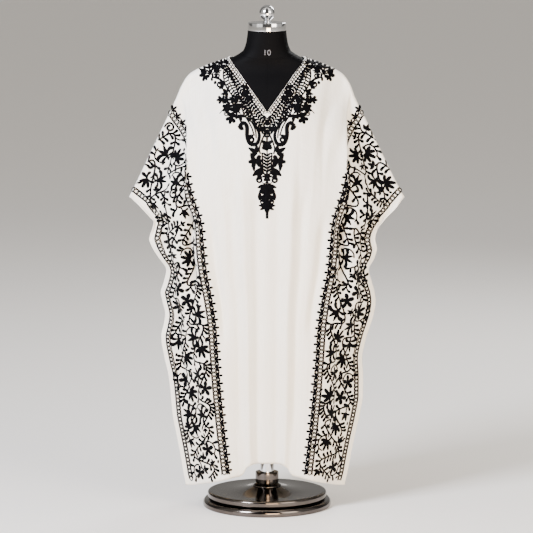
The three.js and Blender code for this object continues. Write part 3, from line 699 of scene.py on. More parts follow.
def slub_cotton(settings):
    """Handloom cotton: plain weave with thicker slub yarns, matte with a faint nap, and painted warm bounce
    light on its lower part.
    """
    material, tree = new_material("slub_cotton")
    coords = add_node(tree, "TexCoord")
    cloth, height = coords.outputs["UV"], coords.outputs["Object"]
    slubs = []
    for across, down in ((2.4, 60), (48, 2.1)):
        yarn = add_node(tree, "Mapping", {"Scale": (1000 / across, 1000 / down, 1)}, {"Vector": cloth})
        slubs.append(add_node(tree, "TexNoise", {"Scale": 1.0, "Detail": 3.0}, {"Vector": yarn}))
    slub = add_node(tree, "Math", {"operation": "ADD"}, dict(enumerate(slubs)))
    cloudy = add_node(tree, "TexNoise", {"Scale": 5.0, "Detail": 2.0}, {"Vector": height})
    tone = add_node(tree, "MapRange", {"From Min": 0.72, "From Max": 1.28}, {"Value": slub})
    light, shade, bounce_tint = (linear(value) for value in (
        settings.cloth_colour, settings.shade_colour, settings.painted_bounce_colour))
    colour = add_node(tree, "Mix", {"data_type": "RGBA", 6: shade, 7: light}, {0: tone})
    # Painted light: warm light bounced from the floor, laid into the colour as a cream tint that grows
    # towards the hem and is broken up by cloudy noise
    axes = add_node(tree, "SeparateXYZ", links={0: height})
    low = add_node(tree, "MapRange", {"From Min": 1.25, "From Max": 0.35}, {"Value": axes.outputs["Z"]})
    painted_bounce_share = add_node(tree, "Math", {"operation": "MULTIPLY_ADD", 2: -0.1}, {0: cloudy, 1: low})
    bounce_painted_colour = add_node(tree, "Mix", {"data_type": "RGBA", 7: bounce_tint}, {0: painted_bounce_share, 6: colour.outputs[2]})
    weave = add_node(tree, "Mapping", {"Scale": (1000 / 1.3, 1000 / 1.3, 1)}, {"Vector": cloth})
    thread = add_node(tree, "TexChecker", {"Scale": 1.0}, {"Vector": weave})
    relief = add_node(tree, "Math", {"operation": "MULTIPLY_ADD", 1: 0.35},
                      {0: thread.outputs["Fac"], 2: slub})
    bump = add_node(tree, "Bump", {"Strength": 0.22, "Distance": 0.0005}, {"Height": relief})
    finish_material(
        tree, {"Roughness": 0.88, "Specular IOR Level": 0.25, "Sheen Weight": 0.12, "Sheen Roughness": 0.5},
        {"Base Color": bounce_painted_colour.outputs[2], "Normal": bump})
    return material


def embroidery_thread(name, hex_colour, roughness):
    """Mercerised cotton thread in packed chain stitch: fine links across each line catch the light."""
    material, tree = new_material(name)
    coords = add_node(tree, "TexCoord")
    stitch = add_node(tree, "Mapping", {"Scale": (1000 / 2.2, 1000 / 0.9, 1)},
                      {"Vector": coords.outputs["UV"]})
    wave = add_node(tree, "TexWave", {"Scale": 0.32, "Distortion": 2.2, "Detail": 1.0}, {"Vector": stitch})
    fuzz = add_node(tree, "TexNoise", {"Scale": 900.0, "Detail": 2.0}, {"Vector": coords.outputs["Object"]})
    base = linear(hex_colour)
    worn = [min(1.0, value * 1.9) for value in base[:3]] + [1.0]
    tone = add_node(tree, "Mix", {"data_type": "RGBA", 6: base, 7: worn}, {0: fuzz})
    bump = add_node(tree, "Bump", {"Strength": 0.5, "Distance": 0.0006}, {"Height": wave.outputs["Fac"]})
    finish_material(tree, {"Roughness": roughness, "Specular IOR Level": 0.02},
                    {"Base Color": tone.outputs[2], "Normal": bump})
    return material


def black_jersey(settings):
    """Knitted jersey stretched over the torso: fine ribs of stitches, a soft satin light on its curves."""
    material, tree = new_material("black_jersey")
    place = add_node(tree, "TexCoord").outputs["Object"]
    ribs = add_node(tree, "Mapping", {"Scale": (1000 / 1.6, 1000 / 1.6, 1000 / 2.2)}, {"Vector": place})
    knit = add_node(tree, "TexNoise", {"Scale": 1.0, "Detail": 1.0}, {"Vector": ribs})
    cloudy = add_node(tree, "TexNoise", {"Scale": 14.0, "Detail": 3.0}, {"Vector": place})
    base, light = linear(settings.jersey_colour), linear("#070708")
    tone = add_node(tree, "Mix", {"data_type": "RGBA", 6: base, 7: light}, {0: cloudy})
    bump = add_node(tree, "Bump", {"Strength": 0.25, "Distance": 0.0004}, {"Height": knit})
    finish_material(tree, {"Roughness": 0.62, "Specular IOR Level": 0.035},
                    {"Base Color": tone.outputs[2], "Normal": bump})
    return material


def polished_metal(name, hex_colour, roughness):
    """Electroplated chrome on turned metal: mirror bright with faint wiping marks in its gloss."""
    material, tree = new_material(name)
    place = add_node(tree, "TexCoord").outputs["Object"]
    stretch = add_node(tree, "Mapping", {"Scale": (1000 / 30, 1000 / 30, 1000 / 3)}, {"Vector": place})
    wiped = add_node(tree, "TexNoise", {"Scale": 1.0, "Detail": 4.0}, {"Vector": stretch})
    ends = {"From Min": 0.3, "From Max": 0.7, "To Min": roughness * 0.8, "To Max": roughness * 1.4}
    gloss = add_node(tree, "MapRange", ends, {"Value": wiped})
    finish_material(tree, {"Base Color": linear(hex_colour), "Metallic": 1.0}, {"Roughness": gloss})
    return material


# Embroidery strokes: each is a line of points with the width of the stitching along it


def leaf(length, width, bend=0.0, count=7):
    """Pointed leaf from the origin upwards, leaning by its bend."""
    t = np.linspace(0, 1, count)
    points = np.stack([bend * length * t * t, length * t], 1)
    return points, width * np.sin(np.pi * np.clip(t, 0.06, 0.96) ** 0.85) ** 0.7


def petal(length, width, count=7):
    """Petal, narrow at its foot and round at its end."""
    t = np.linspace(0, 1, count)
    points = np.stack([np.zeros(count), length * t], 1)
    return points, width * np.sin(np.pi * np.clip(t, 0.08, 0.95) ** 1.6) ** 0.5


def comma(length, width, bend, count=12):
    """Stroke that swells as it curls over."""
    t = np.linspace(0, 1, count)
    heading = bend * t * t
    step = length / (count - 1)
    x = np.concatenate([[0], np.cumsum(np.sin(heading[:-1]) * step)])
    y = np.concatenate([[0], np.cumsum(np.cos(heading[:-1]) * step)])
    swell = 0.35 + 0.65 * ease(t * 1.25)
    swell[-2:] = (0.85, 0.5)
    return np.stack([x, y], 1), width * swell


def scroll(radius, turns, width, grow=0.22):
    """Spiral that winds in from the origin, with a heavy end."""
    count = int(11 * turns + 5)
    t = np.linspace(0, 1, count)
    angle = 2 * np.pi * turns * t
    reach = radius * (1 - (1 - grow) * t)
    points = np.stack([radius - reach * np.cos(angle), reach * np.sin(angle)], 1)
    widths = width * (0.8 + 0.3 * t)
    widths[-1] = width * 0.7
    return points, widths


def curve_through(points, count=14):
    """Smooth line through a few points."""
    points = np.asarray(points, float)
    padded = np.concatenate([[2 * points[0] - points[1]], points, [2 * points[-1] - points[-2]]])
    spans = len(points) - 1
    t = np.linspace(0, spans, count)
    low = np.clip(t.astype(int), 0, spans - 1)
    u = (t - low)[:, None]
    a, b, c, d = (padded[low + k] for k in range(4))
    return 0.5 * (2 * b + (c - a) * u + (2 * a - 5 * b + 4 * c - d) * u * u
                  + (3 * b - a - 3 * c + d) * u ** 3)


def line(points, width, count=14, end=0.65):
    """Stem whose width changes evenly to a share of it at its end."""
    t = np.linspace(0, 1, count)
    return curve_through(points, count), width * (1 + (end - 1) * t)


def turned_strokes(strokes, x=0.0, y=0.0, angle=0.0, flip=False):
    """Strokes turned clockwise by degrees and moved."""
    turn = math.radians(-angle)
    matrix = np.array([[math.cos(turn), -math.sin(turn)], [math.sin(turn), math.cos(turn)]])
    side = (-1, 1) if flip else (1, 1)
    return [((points * side) @ matrix.T + (x, y), widths) for points, widths in strokes]


def fan(angles, lengths, width, kind=petal):
    """Petals or leaves spread at angles from the origin."""
    strokes = []
    for angle, length in zip(angles, lengths):
        strokes += turned_strokes([kind(length, width)], angle=angle)
    return strokes


def pair(stroke, angle):
    """A stroke turned outwards and its mirror image."""
    return turned_strokes([stroke], angle=angle) + turned_strokes([stroke], angle=-angle, flip=True)


def rosette(r):
    """Open flower of five broad petals round a seed."""
    seed = turned_strokes([leaf(r * 0.5, r * 0.5, 0.0, 5)], 0, -r * 0.25)
    return fan(np.arange(5) * 72, [r * 1.05] * 5, r * 0.62) + seed


def clover(r):
    """Blossom of four lobes with a short tip and foot."""
    return fan((-128, -50, 50, 128), [r * 1.04] * 4, r * 0.68) + fan((0, 180), (r * 1.15, r * 0.9), r * 0.6)


def lotus(r):
    """Flower seen from the side: a fan of full petals over two curled sepals."""
    strokes = fan((-74, -37, 0, 37, 74), [r * k for k in (1.1, 1.35, 1.45, 1.35, 1.1)], r * 0.46)
    strokes += pair(comma(r * 1.0, r * 0.36, 1.9), 114)
    return turned_strokes(strokes, 0, -0.42 * r)


def iris(r):
    """Side flower whose outer petals curl right over."""
    strokes = fan((-17, 17), (r * 1.45, r * 1.45), r * 0.44, leaf) + pair(comma(r * 1.6, r * 0.48, 2.5), 38)
    strokes += pair(comma(r * 1.25, r * 0.42, 1.8), 88) + fan((180,), (r * 0.5,), r * 0.4, leaf)
    return turned_strokes(strokes, 0, -0.5 * r)


def bud(r):
    """Closed bud between two curled sepals."""
    strokes = fan((-16, 16), (r * 1.5, r * 1.5), r * 0.56, leaf) + pair(comma(r * 1.05, r * 0.34, 1.6), 52)
    return turned_strokes(strokes, 0, -0.6 * r)


def leaf_trio(r):
    """Three broad pointed leaves joined at their foot."""
    strokes = fan((-55, 0, 55), (r * 1.15, r * 1.45, r * 1.15), r * 0.66, leaf)
    return turned_strokes(strokes, 0, -0.45 * r)


def spray(r):
    """Fan of narrow leaves."""
    strokes = fan((-66, -33, 0, 33, 66), [r * k for k in (0.9, 1.15, 1.3, 1.15, 0.9)], r * 0.4, leaf)
    return turned_strokes(strokes, 0, -0.5 * r)


def curl(r):
    """Tendril wound into a scroll, with a small leaf at its foot."""
    strokes = [scroll(r * 0.8, 1.35, r * 0.34), leaf(r * 1.1, r * 0.36, -0.5)]
    return turned_strokes(strokes, -0.8 * r, -0.1 * r)


def twin_leaves(r):
    """Two leaves that part from one foot."""
    strokes = turned_strokes([comma(r * 1.5, r * 0.54, 1.2)], angle=12)
    strokes += turned_strokes([comma(r * 1.2, r * 0.48, 1.1)], angle=-24, flip=True)
    return turned_strokes(strokes, 0, -0.6 * r)


def single_leaf(r):
    """One swelling curved leaf."""
    return turned_strokes([comma(r * 1.7, r * 0.66, 1.3)], 0, -0.7 * r)


def coil(r):
    """Bold spiral."""
    return turned_strokes([scroll(r, 1.4, r * 0.56)], -r, 0)


def almond(r):
    """Upright leaf that is centred on its anchor."""
    return turned_strokes([leaf(r * 2, r * 0.95)], 0, -r)


def dot(r):
    """Filled seed."""
    return turned_strokes([leaf(r * 2, r * 1.9, 0.0, 5)], 0, -r)


MOTIFS = {motif.__name__: motif for motif in (
    rosette, clover, lotus, iris, bud, leaf_trio, spray, curl, twin_leaves, single_leaf, coil, almond, dot)}


class Stitching:
    """Collects strokes on a cloth surface and makes them into one raised mesh."""

    def __init__(self, surface, height):
        self.surface = surface
        self.height = height
        self.spread = 1.3
        self.lines = []

    def on_grid(self, places, widths):
        """Adds a stroke at known rows and columns, unless it leaves the cloth."""
        rows, columns = self.surface.outer.shape[:2]
        inside = (places[:, 0] >= 0) & (places[:, 0] <= rows - 1)
        inside &= (places[:, 1] >= 0) & (places[:, 1] <= columns - 1)
        if np.all(inside):
            self.lines.append((places, widths + self.spread))

    def at_anchor(self, strokes, row, column):
        """Adds strokes drawn about a point of the cloth."""
        for points, widths in strokes:
            places = self.surface.local(row, column, points)
            made = self.surface.sample(self.surface.outer, *places.T)
            drawn = norm(np.diff(points, axis=0), axis=1)
            if np.all(norm(np.diff(made, axis=0), axis=1) < 2.4 * drawn + 1):
                self.on_grid(places, widths)

    def as_seen(self, strokes):
        """Adds strokes drawn as they are seen from the front."""
        for points, widths in strokes:
            self.on_grid(self.surface.seen(*points.T), widths)

    def sections(self, row, column, widths, ahead, behind):
        """Five points across each place of the strokes, from one foot over the crown to the other."""
        surface = self.surface
        middle = surface.sample(surface.outer, row, column)
        normal = unit(surface.sample(surface.normal, row, column))
        tangent = unit(middle[ahead] - middle[behind], 1e-6)
        sideways = unit(np.cross(tangent, normal), 1e-6)
        feet = []
        for sign in (-1, 1):
            reach = sideways * (sign * widths / 2)[:, None]
            steps = surface.step_for(row, column, reach)
            foot = surface.sample(surface.outer, row + steps[0], column + steps[1])
            strayed = norm(foot - (middle + reach), axis=1, keepdims=True) > 2.5
            feet.append(np.where(strayed, middle + reach, foot))
        rise = normal * self.height * np.minimum(1.0, widths / 2.4)[:, None]
        left, right = feet
        return middle, np.stack([
            left - normal * 0.3, middle + (left - middle) * 0.8 + rise * 0.85, middle + rise,
            middle + (right - middle) * 0.8 + rise * 0.85, right - normal * 0.3,
        ], axis=1)

    def mesh(self, name):
        """Raised closed ribbon for each stroke, in one mesh."""
        counts = np.array([len(widths) for _, widths in self.lines])
        places = np.concatenate([p for p, _ in self.lines])
        widths = np.concatenate([w for _, w in self.lines])
        last = np.cumsum(counts) - 1
        first = last - counts + 1
        ahead = np.arange(len(places)) + 1
        behind = np.arange(len(places)) - 1
        ahead[last], behind[first] = last, first
        middle, section = self.sections(*places.T, widths, ahead, behind)
        a = np.setdiff1d(np.arange(len(places)), last) * 5
        quads = [np.stack([a + k, a + (k + 1) % 5, a + 5 + (k + 1) % 5, a + 5 + k], 1) for k in range(5)]
        polygons = np.concatenate(quads).tolist()
        for start, end in zip(first * 5, last * 5):
            polygons.append([start + k for k in (4, 3, 2, 1, 0)])
            polygons.append([end + k for k in range(5)])
        mesh = smooth_mesh(name, (section.reshape(-1, 3) * MM).tolist(), polygons)
        along = np.cumsum(norm(middle - middle[behind], axis=1))
        across = widths[:, None] * np.array([-0.5, -0.4, 0.0, 0.4, 0.5])
        set_uv(mesh, np.stack([np.repeat(along, 5), across.ravel()], 1) * MM)
        return mesh


# Yoke, drawn for one half and mirrored: distance from the middle, height, size and clockwise turn
YOKE_MOTIFS = table(
    "kind x z size turn",
    ("clover", 180, 1266, 15, 35), ("leaf_trio", 184, 1281, 13, 70), ("leaf_trio", 166, 1293, 13, 20),
    ("spray", 166, 1278, 14, 60), ("clover", 130, 1299, 15, 15), ("leaf_trio", 148, 1300, 14, -20),
    ("clover", 151, 1287, 11, 60), ("spray", 117, 1307, 12, -10), ("single_leaf", 158, 1264, 11, 150),
    ("spray", 140, 1285, 13, -50), ("curl", 150, 1270, 13, 40), ("dot", 149, 1249, 5.0, 0),
    ("coil", 136, 1243, 9, 0), ("coil", 142, 1269, 8, 90), ("leaf_trio", 119, 1220, 14, 100),
    ("single_leaf", 112, 1236, 11, 160), ("single_leaf", 124, 1243, 11, 120),
    ("clover", 130, 1202, 13, 95), ("leaf_trio", 113, 1203, 12, -80), ("clover", 112, 1181, 16, 120),
    ("spray", 96, 1187, 15, 90), ("clover", 102, 1155, 17, 165), ("curl", 117, 1164, 9, 80),
    ("leaf_trio", 77, 1156, 15, 190), ("spray", 88, 1171, 17, 190), ("spray", 101, 1203, 14, 100),
    ("spray", 91, 1205, 17, 80), ("spray", 79, 1184, 17, 175), ("rosette", 74, 1204, 10, 0),
    ("clover", 62, 1221, 14, -30),
    ("clover", 50, 1206, 11, -75), ("leaf_trio", 62, 1240, 11, -20), ("single_leaf", 35, 1190, 9, 200),
    ("leaf_trio", 16, 1122, 13, 190), ("single_leaf", 8, 1105, 11, 200), ("coil", 45, 1094, 12, 60),
    ("leaf_trio", 36, 1060, 20, 60), ("almond", 46, 1066, 7, 70), ("clover", 31, 1031, 20, 95),
    ("almond", 44, 1047, 9, 18), ("almond", 38, 1012, 10, 186), ("almond", 27, 1000, 18, 128),
    ("almond", 19, 995, 13, 132), ("single_leaf", 18, 1014, 10, 190), ("coil", 21, 977, 10.5, 40),
    ("almond", 16, 958, 12, 108), ("almond", 14, 949, 11, 128), ("almond", 8, 956, 9, 150),
    ("almond", 21, 930, 12.5, 0), ("coil", 13, 912, 7.5, 20), ("almond", 14, 902, 10, 92),
    ("almond", 12, 894, 9, 118), ("dot", 14, 941, 2.4, 0),
)
CENTRE_MOTIFS = table(
    "kind x z size turn",
    ("clover", 0, 1077, 17, 0), ("dot", 0, 1073, 14, 0), ("dot", 0, 1073, 13.5, 90),
    ("lotus", 0, 990, 13, 0), ("leaf_trio", 0, 976, 10, 180), ("clover", 0, 935, 21, 180),
    ("rosette", 0, 937, 19, 0), ("spray", 0, 962, 13, 0), ("almond", 0, 897, 17, 0), ("dot", 0, 903, 11, 0),
)
# Width, share of it at the end, and the points that each stem runs through
YOKE_LINES = (
    (6.4, 0.9, ((152, 1264), (137, 1259), (126, 1249), (129, 1236), (138, 1234))),
    (3.0, 0.7, ((152, 1262), (160, 1272), (171, 1274))),
    (2.6, 0.6, ((119, 1184), (127, 1174), (136, 1164))),
    (3.2, 0.7, ((128, 1234), (124, 1224), (124, 1210), (118, 1192), (108, 1172))),
    (11.5, 1.1, ((67, 1127), (73, 1125), (78, 1132), (67, 1140), (58, 1131), (57, 1104), (51, 1086),
                 (39, 1077))),
    (12.0, 0.6, ((41, 1078), (28, 1083), (22, 1103), (27, 1121), (38, 1139))),
    (3.8, 0.9, ((62, 1172), (50, 1151), (38, 1131), (32, 1112), (31, 1097))),
    (4.0, 0.9, ((68, 1166), (54, 1145), (44, 1127), (39, 1112), (36, 1104))),
    (4.6, 0.9, ((0, 1117), (8, 1104), (17, 1085), (22, 1066), (19, 1052))),
    (4.0, 0.9, ((4, 1112), (14, 1124), (22, 1140))),
    (4.0, 1.0, ((14, 1056), (13, 1036), (12, 1014), (15, 996))),
    (3.0, 0.8, ((24, 1036), (17, 1024), (16, 1008))),
    (2.6, 0.8, ((0, 972), (8, 966), (14, 970))),
    (2.6, 0.8, ((2, 918), (8, 910), (16, 908))),
)
# Width, points and end share of each stem in the middle, and the heights that it runs through
MIDDLE = 0.3
CENTRE_LINES = (
    (2.4, 20, 1.0, (1150, 1125, 1096, 1085)), (2.6, 20, 1.0, (1060, 1030, 1000, 985)),
    (3.4, 12, 1.0, (980, 966, 950)), (4.0, 8, 1.0, (924, 912, 904)), (8.0, 8, 0.9, (890, 878, 864)),
)
PAISLEYS = (
    (27, 9, ((118, 1292), (113, 1268), (104, 1242), (91, 1221), (78, 1207))),
    (22, 7, ((68, 1204), (61, 1181), (50, 1158), (33, 1136))),
)
FERNS = (
    {"from_t": 0.97, "to_t": -0.18, "inset": 22.5, "long": 13, "wide": 5.6, "pitch": 8.8},
    {"from_t": 0.36, "to_t": -0.3, "inset": 38.5, "long": 12.5, "wide": 5.4, "pitch": 9.4},
)
NECK_OUT = 110.5


def mirrored(strokes):
    """The strokes and their mirror images."""
    return strokes + [(points * (-1, 1), widths) for points, widths in strokes]


def neck_offset(t, inset):
    """Points beside the V neck's edge, by share of the way up and inset from it."""
    t = np.asarray(t, float)
    rise = NECK_POINT_HEIGHT - V_POINT_HEIGHT
    long = math.hypot(NECK_OUT, rise)
    direction = np.array([NECK_OUT, rise]) / long
    normal = np.array([direction[1], -direction[0]])
    return (np.array([0, V_POINT_HEIGHT]) + direction * (t * long)[:, None]
            + normal * np.reshape(inset, (-1, 1)))


def fern(points, long, wide, pitch):
    """Stem with slanted leaves on both sides, all the way along."""
    run = run_along(points)
    tangent = np.gradient(points, axis=0)
    strokes = [(points, np.full(len(points), 1.9))]
    for at in np.arange(pitch * 0.5, run[-1], pitch):
        x, z = (np.interp(at, run, points[:, axis]) for axis in (0, 1))
        dx, dz = (np.interp(at, run, tangent[:, axis]) for axis in (0, 1))
        heading = math.degrees(math.atan2(dx, dz))
        for side in (-1, 1):
            strokes += turned_strokes([leaf(long, wide, 0.12 * side, 5)], x, z, heading - side * 52)
    return strokes


def ribbed_paisley(spine, width, ribs):
    """Long paisley drawn as an outline and a ladder of ribs across it."""
    middle = curve_through(spine, 3 * ribs)
    tangent = unit(np.gradient(middle, axis=0))
    normal = tangent[:, ::-1] * (1, -1)
    t = np.linspace(0, 1, len(middle))
    half = width / 2 * np.sin(np.pi * np.clip(t, 0.04, 0.97) ** 0.75)[:, None] ** 0.7
    strokes = [(middle + normal * half * sign, np.full(len(middle), 3.4)) for sign in (-1, 1)]
    strokes.append((middle, np.full(len(middle), 2.0)))
    for index in range(1, len(middle) - 1, 2):
        for sign in (-1, 1):
            tip = middle[index] + normal[index] * half[index] * sign + tangent[index] * 4.0
            strokes.append((np.linspace(middle[index], tip, 3), np.array((3.2, 5.0, 4.0))))
    return strokes


def yoke_strokes():
    """All strokes of the yoke and its pendant, in millimetres as seen from the front."""
    strokes = []
    for row in rows_of(YOKE_MOTIFS):
        strokes += turned_strokes(MOTIFS[row["kind"]](row["size"]), row["x"], row["z"], row["turn"])
    for row in FERNS:
        t = np.linspace(row["from_t"], row["to_t"], 40)
        points = neck_offset(t, row["inset"])
        strokes += fern(points[points[:, 0] > 1.5], row["long"], row["wide"], row["pitch"])
    for inset, width in ((1.0, 1.2), (15.0, 2.4)):
        points = neck_offset(np.linspace(0.99, -0.14, 60), inset)
        points = points[points[:, 0] > 0.4]
        strokes.append((points, np.full(len(points), width)))
    for width, ribs, spine in PAISLEYS:
        strokes += ribbed_paisley(spine, width, ribs)
    for width, end, points in YOKE_LINES:
        strokes.append(line(points, width, 8 * len(points), end))
    for z in np.arange(1050, 1002, -9.0):
        strokes += turned_strokes([leaf(14, 6.8, 0.1, 5)], 1.5, z - 5, 38)
    strokes = mirrored(strokes)
    for row in rows_of(CENTRE_MOTIFS):
        strokes += turned_strokes(MOTIFS[row["kind"]](row["size"]), 0, row["z"], row["turn"])
    strokes += fern(np.linspace((MIDDLE, 1108), (MIDDLE, 1152), 20), 15, 5.6, 9.4)
    return strokes + [line([(MIDDLE, z) for z in heights], width, count, end)
                      for width, count, end, heights in CENTRE_LINES]


# Side bands: large flowers in turn, then smaller growth that fills the gaps, largest first
FLOWERS = table("kind size", ("iris", 24), ("lotus", 23), ("iris", 22), ("rosette", 21), ("lotus", 24))
SMALL_MOTIFS = table(
    "kind size room",
    ("bud", 18, 16), ("curl", 19, 15.5), ("twin_leaves", 18, 14.5), ("leaf_trio", 15, 13), ("bud", 13, 12),
    ("twin_leaves", 14, 11.5), ("single_leaf", 15, 10), ("leaf_trio", 10, 8.5), ("single_leaf", 11, 7.5),
)
STEM_WIDTH = 5.0
FLOWER_PITCH = 56.0
FLOWER_MOVES = ((0, 0), (0, 0.12), (0, -0.12), (14, 0), (-14, 0), (14, 0.25), (-14, -0.25), (20, -0.2),
                (-20, 0.2))
WIDE_LANE = 138.0
BRAID_WIDTH = 15.5
HEM_STRIP = table("z width", (912, 25), (850, 24), (825, 18), (58, 17))
BAND_END = 13.0


class Vine:
    """Sets out the growth of one side band on its cloth."""

    def __init__(self, stitching, half, seed):
        self.stitching = stitching
        self.surface = stitching.surface
        self.rng = np.random.default_rng(seed)
        self.band = self.surface.bands[half]
        self.long = self.band["fall"][-1] - BAND_END
        self.taken = np.zeros((9000, 4))
        self.count = 0
        self.stem_places, self.stem_points, self.stem_first = [], [], []

    def place(self, fall, share):
        """Row and column at a length down the band and a share across its lane."""
        return self.surface.lane_place(self.band, fall, share)

    def wide(self, fall):
        """Width of the lane at a length down the band."""
        return float(np.interp(fall, self.band["fall"], self.band["wide"]))

    def point(self, place):
        """Point of the cloth at a row and column."""
        return self.surface.sample(self.surface.outer, np.array([place[0]]), np.array([place[1]]))[0]

    def take(self, point, room):
        """Marks a point of the cloth as filled."""
        self.taken[self.count] = (*point, room)
        self.count += 1

    def free(self, point, room):
        """Whether nothing lies within the room of a point."""
        taken = self.taken[:self.count]
        return bool(np.all(norm(taken[:, :3] - point, axis=1) > taken[:, 3] + room))

    def stem(self, places, widths):
        """Stitches a stem and lets others branch from it."""
        self.stitching.on_grid(places, widths)
        first = len(self.stem_places)
        for place in places:
            self.take(self.point(place), 3.0)
            self.stem_places.append(place)
            self.stem_points.append(self.point(place))
            self.stem_first.append(first)

    def heading(self, direction, place):
        """Clockwise turn from straight up of a direction on the cloth, in degrees."""
        up, right = self.surface.upright(*place)
        return math.degrees(math.atan2(direction @ right, direction @ up))

    def draw(self, kind, size, place, turn, flip=False):
        """Stitches one motif about a place of the cloth."""
        self.stitching.at_anchor(turned_strokes(MOTIFS[kind](size), 0, 0, turn, flip), *place)

    def course(self, low, high, begin, end, targets):
        """One meandering stem between two shares of the lane, and the places of its flowers."""
        phase = self.rng.uniform(0.2, 0.8)
        falls = np.arange(begin, end, 6.5)
        wave = np.cos(np.pi * ((falls - begin) / FLOWER_PITCH + phase))
        shares = low + (high - low) * (0.5 + 0.32 * wave)
        places = np.array([self.place(fall, share) for fall, share in zip(falls, shares)])
        self.stem(places, np.full(len(falls), STEM_WIDTH))
        for index in range(1, int((end - begin) / FLOWER_PITCH + phase) + 1):
            side = 1 if index % 2 else -1
            fall = begin + (index - phase) * FLOWER_PITCH + self.rng.uniform(-5, 5)
            if fall < self.long - 18:
                targets.append((fall, low + (high - low) * (0.5 + side * 0.2)))

    def main_growth(self):
        """Main stems, two where the lane is wide, and their large flowers."""
        falls = np.arange(5, self.long, 5.0)
        wide = falls[np.array([self.wide(fall) for fall in falls]) > WIDE_LANE]
        targets = []
        begin = 5.0
        if len(wide):
            for low, high in ((0.0, 0.53), (0.47, 1.0)):
                self.course(low, high, max(5.0, wide[0]), wide[-1], targets)
            if wide[0] > 60:
                self.course(0.0, 1.0, 5.0, wide[0], targets)
            begin = wide[-1] - 8
        self.course(0.0, 1.0, begin, self.long, targets)
        rows = rows_of(FLOWERS)
        for index, (fall, share) in enumerate(targets):
            row = rows[(index + self.rng.integers(2)) % len(rows)]
            inset = min(0.5, row["size"] * 1.3 / self.wide(fall))
            for lower, aside in FLOWER_MOVES:
                across = np.clip(share + aside, inset, 1 - inset)
                target = self.place(min(fall + lower, self.long - 20), across)
                if self.free(self.point(target), row["size"] * 0.74):
                    self.flower(row, target)
                    break

    def nearest_stem(self, here):
        """Points of all stems, the gap from each to a point, and which is the nearest."""
        points = np.array(self.stem_points)
        gaps = norm(points - here, axis=1)
        return points, gaps, int(np.argmin(gaps))

    def aim(self, target, spread, size, share):
        """Turn of a motif away from the nearest stem, and the place of its foot."""
        here = self.point(target)
        points, _, near = self.nearest_stem(here)
        turn = self.heading(here - points[near], target) + self.rng.uniform(-spread, spread)
        back = math.radians(turn + 180)
        offset = np.array([[math.sin(back), math.cos(back)]]) * size * share
        return turn, self.surface.local(*target, offset)[0]

    def flower(self, row, target):
        """One large flower on a stalk, half held by a curling tendril."""
        r = row["size"]
        turn, foot = self.aim(target, 30, r, 0.8)
        self.draw(row["kind"], r, target, turn, bool(self.rng.integers(2)))
        self.join(foot)
        side = 1 if self.rng.integers(2) else -1
        angle = math.radians(turn + 180) + side * np.radians(np.array([35, 70, 105, 140, 170]))
        reach = r * np.array([1.12, 1.25, 1.28, 1.22, 1.08])
        arc = np.stack([np.sin(angle) * reach, np.cos(angle) * reach], 1)
        places = self.surface.local(*target, curve_through(arc, 12))
        if all(self.free(self.point(place), 1.5) for place in places[::3]):
            self.stem(places, np.linspace(STEM_WIDTH * 0.9, STEM_WIDTH * 0.7, len(places)))
            self.join(places[0])
        self.take(self.point(target), r * 0.98)

    def join(self, target):
        """Stem that leaves the nearest one along its own run and bends to a place."""
        points, gaps, near = self.nearest_stem(self.point(target))
        if gaps[near] > 90:
            return False
        index, first, reach = near, self.stem_first[near], 0.8 * gaps[near]
        while index > first and norm(points[index] - points[near]) < reach:
            index -= 1
        source, bulge = self.stem_places[index], self.stem_places[near]
        path = curve_through([source, 0.3 * source + 0.32 * bulge + 0.38 * target, target], 8)
        self.stem(path, np.linspace(STEM_WIDTH * 0.9, STEM_WIDTH * 0.75, 8))
        return True

    def small_growth(self, attempts):
        """Buds, curls and leaves on short stems wherever there is room."""
        rows = rows_of(SMALL_MOTIFS)
        for attempt in range(attempts):
            stage = min(len(rows) - 1, int(attempt / attempts * (len(rows) + 0.6)))
            row = rows[self.rng.integers(max(0, stage - 2), stage + 1)]
            fall = self.rng.uniform(4, self.long - row["room"] * 0.7)
            inset = row["room"] * 0.85 / self.wide(fall)
            target = self.place(fall, self.rng.uniform(inset, 1 - inset))
            here = self.point(target)
            if not self.free(here, row["room"] * 0.86):
                continue
            turn, foot = self.aim(target, 25, row["size"], 0.6)
            if self.join(foot):
                self.draw(row["kind"], row["size"], target, turn, bool(self.rng.integers(2)))
                self.take(here, row["room"])

    def thorns(self):
        """Short curved leaves along both sides of the stems."""
        last = np.zeros(3)
        for index in range(1, len(self.stem_places) - 1):
            place, point = self.stem_places[index], self.stem_points[index]
            direction = self.stem_points[index + 1] - point
            if not 0.5 < norm(direction) < 20 or norm(point - last) < 12:
                continue
            for side in (1, -1):
                turn = self.heading(direction, place) + side * 48
                up, right = self.surface.upright(*place)
                angle = math.radians(turn + side * 12)
                tip = point + (right * math.sin(angle) + up * math.cos(angle)) * 15
                if self.free(tip, 4.2):
                    thorn = turned_strokes([comma(20, 8.8, 0.9 * side)], 0, 0, turn)
                    self.stitching.at_anchor(thorn, *place)
                    self.take(tip, 6.2)
                    last = point

    def seeds(self):
        """Short stitches in the gaps that are left."""
        for _ in range(700):
            target = self.place(self.rng.uniform(2, self.long), self.rng.uniform(0.02, 0.98))
            here = self.point(target)
            if self.free(here, 5.0):
                strokes = turned_strokes([leaf(11, 6.2, 0.1, 5)], 0, -4, self.rng.uniform(0, 360))
                self.stitching.at_anchor(strokes, *target)
                self.take(here, 6.2)

    def grow(self):
        """Stitches the whole vine."""
        self.main_growth()
        self.small_growth(500)
        self.thorns()
        self.small_growth(2200)
        self.thorns()
        self.seeds()


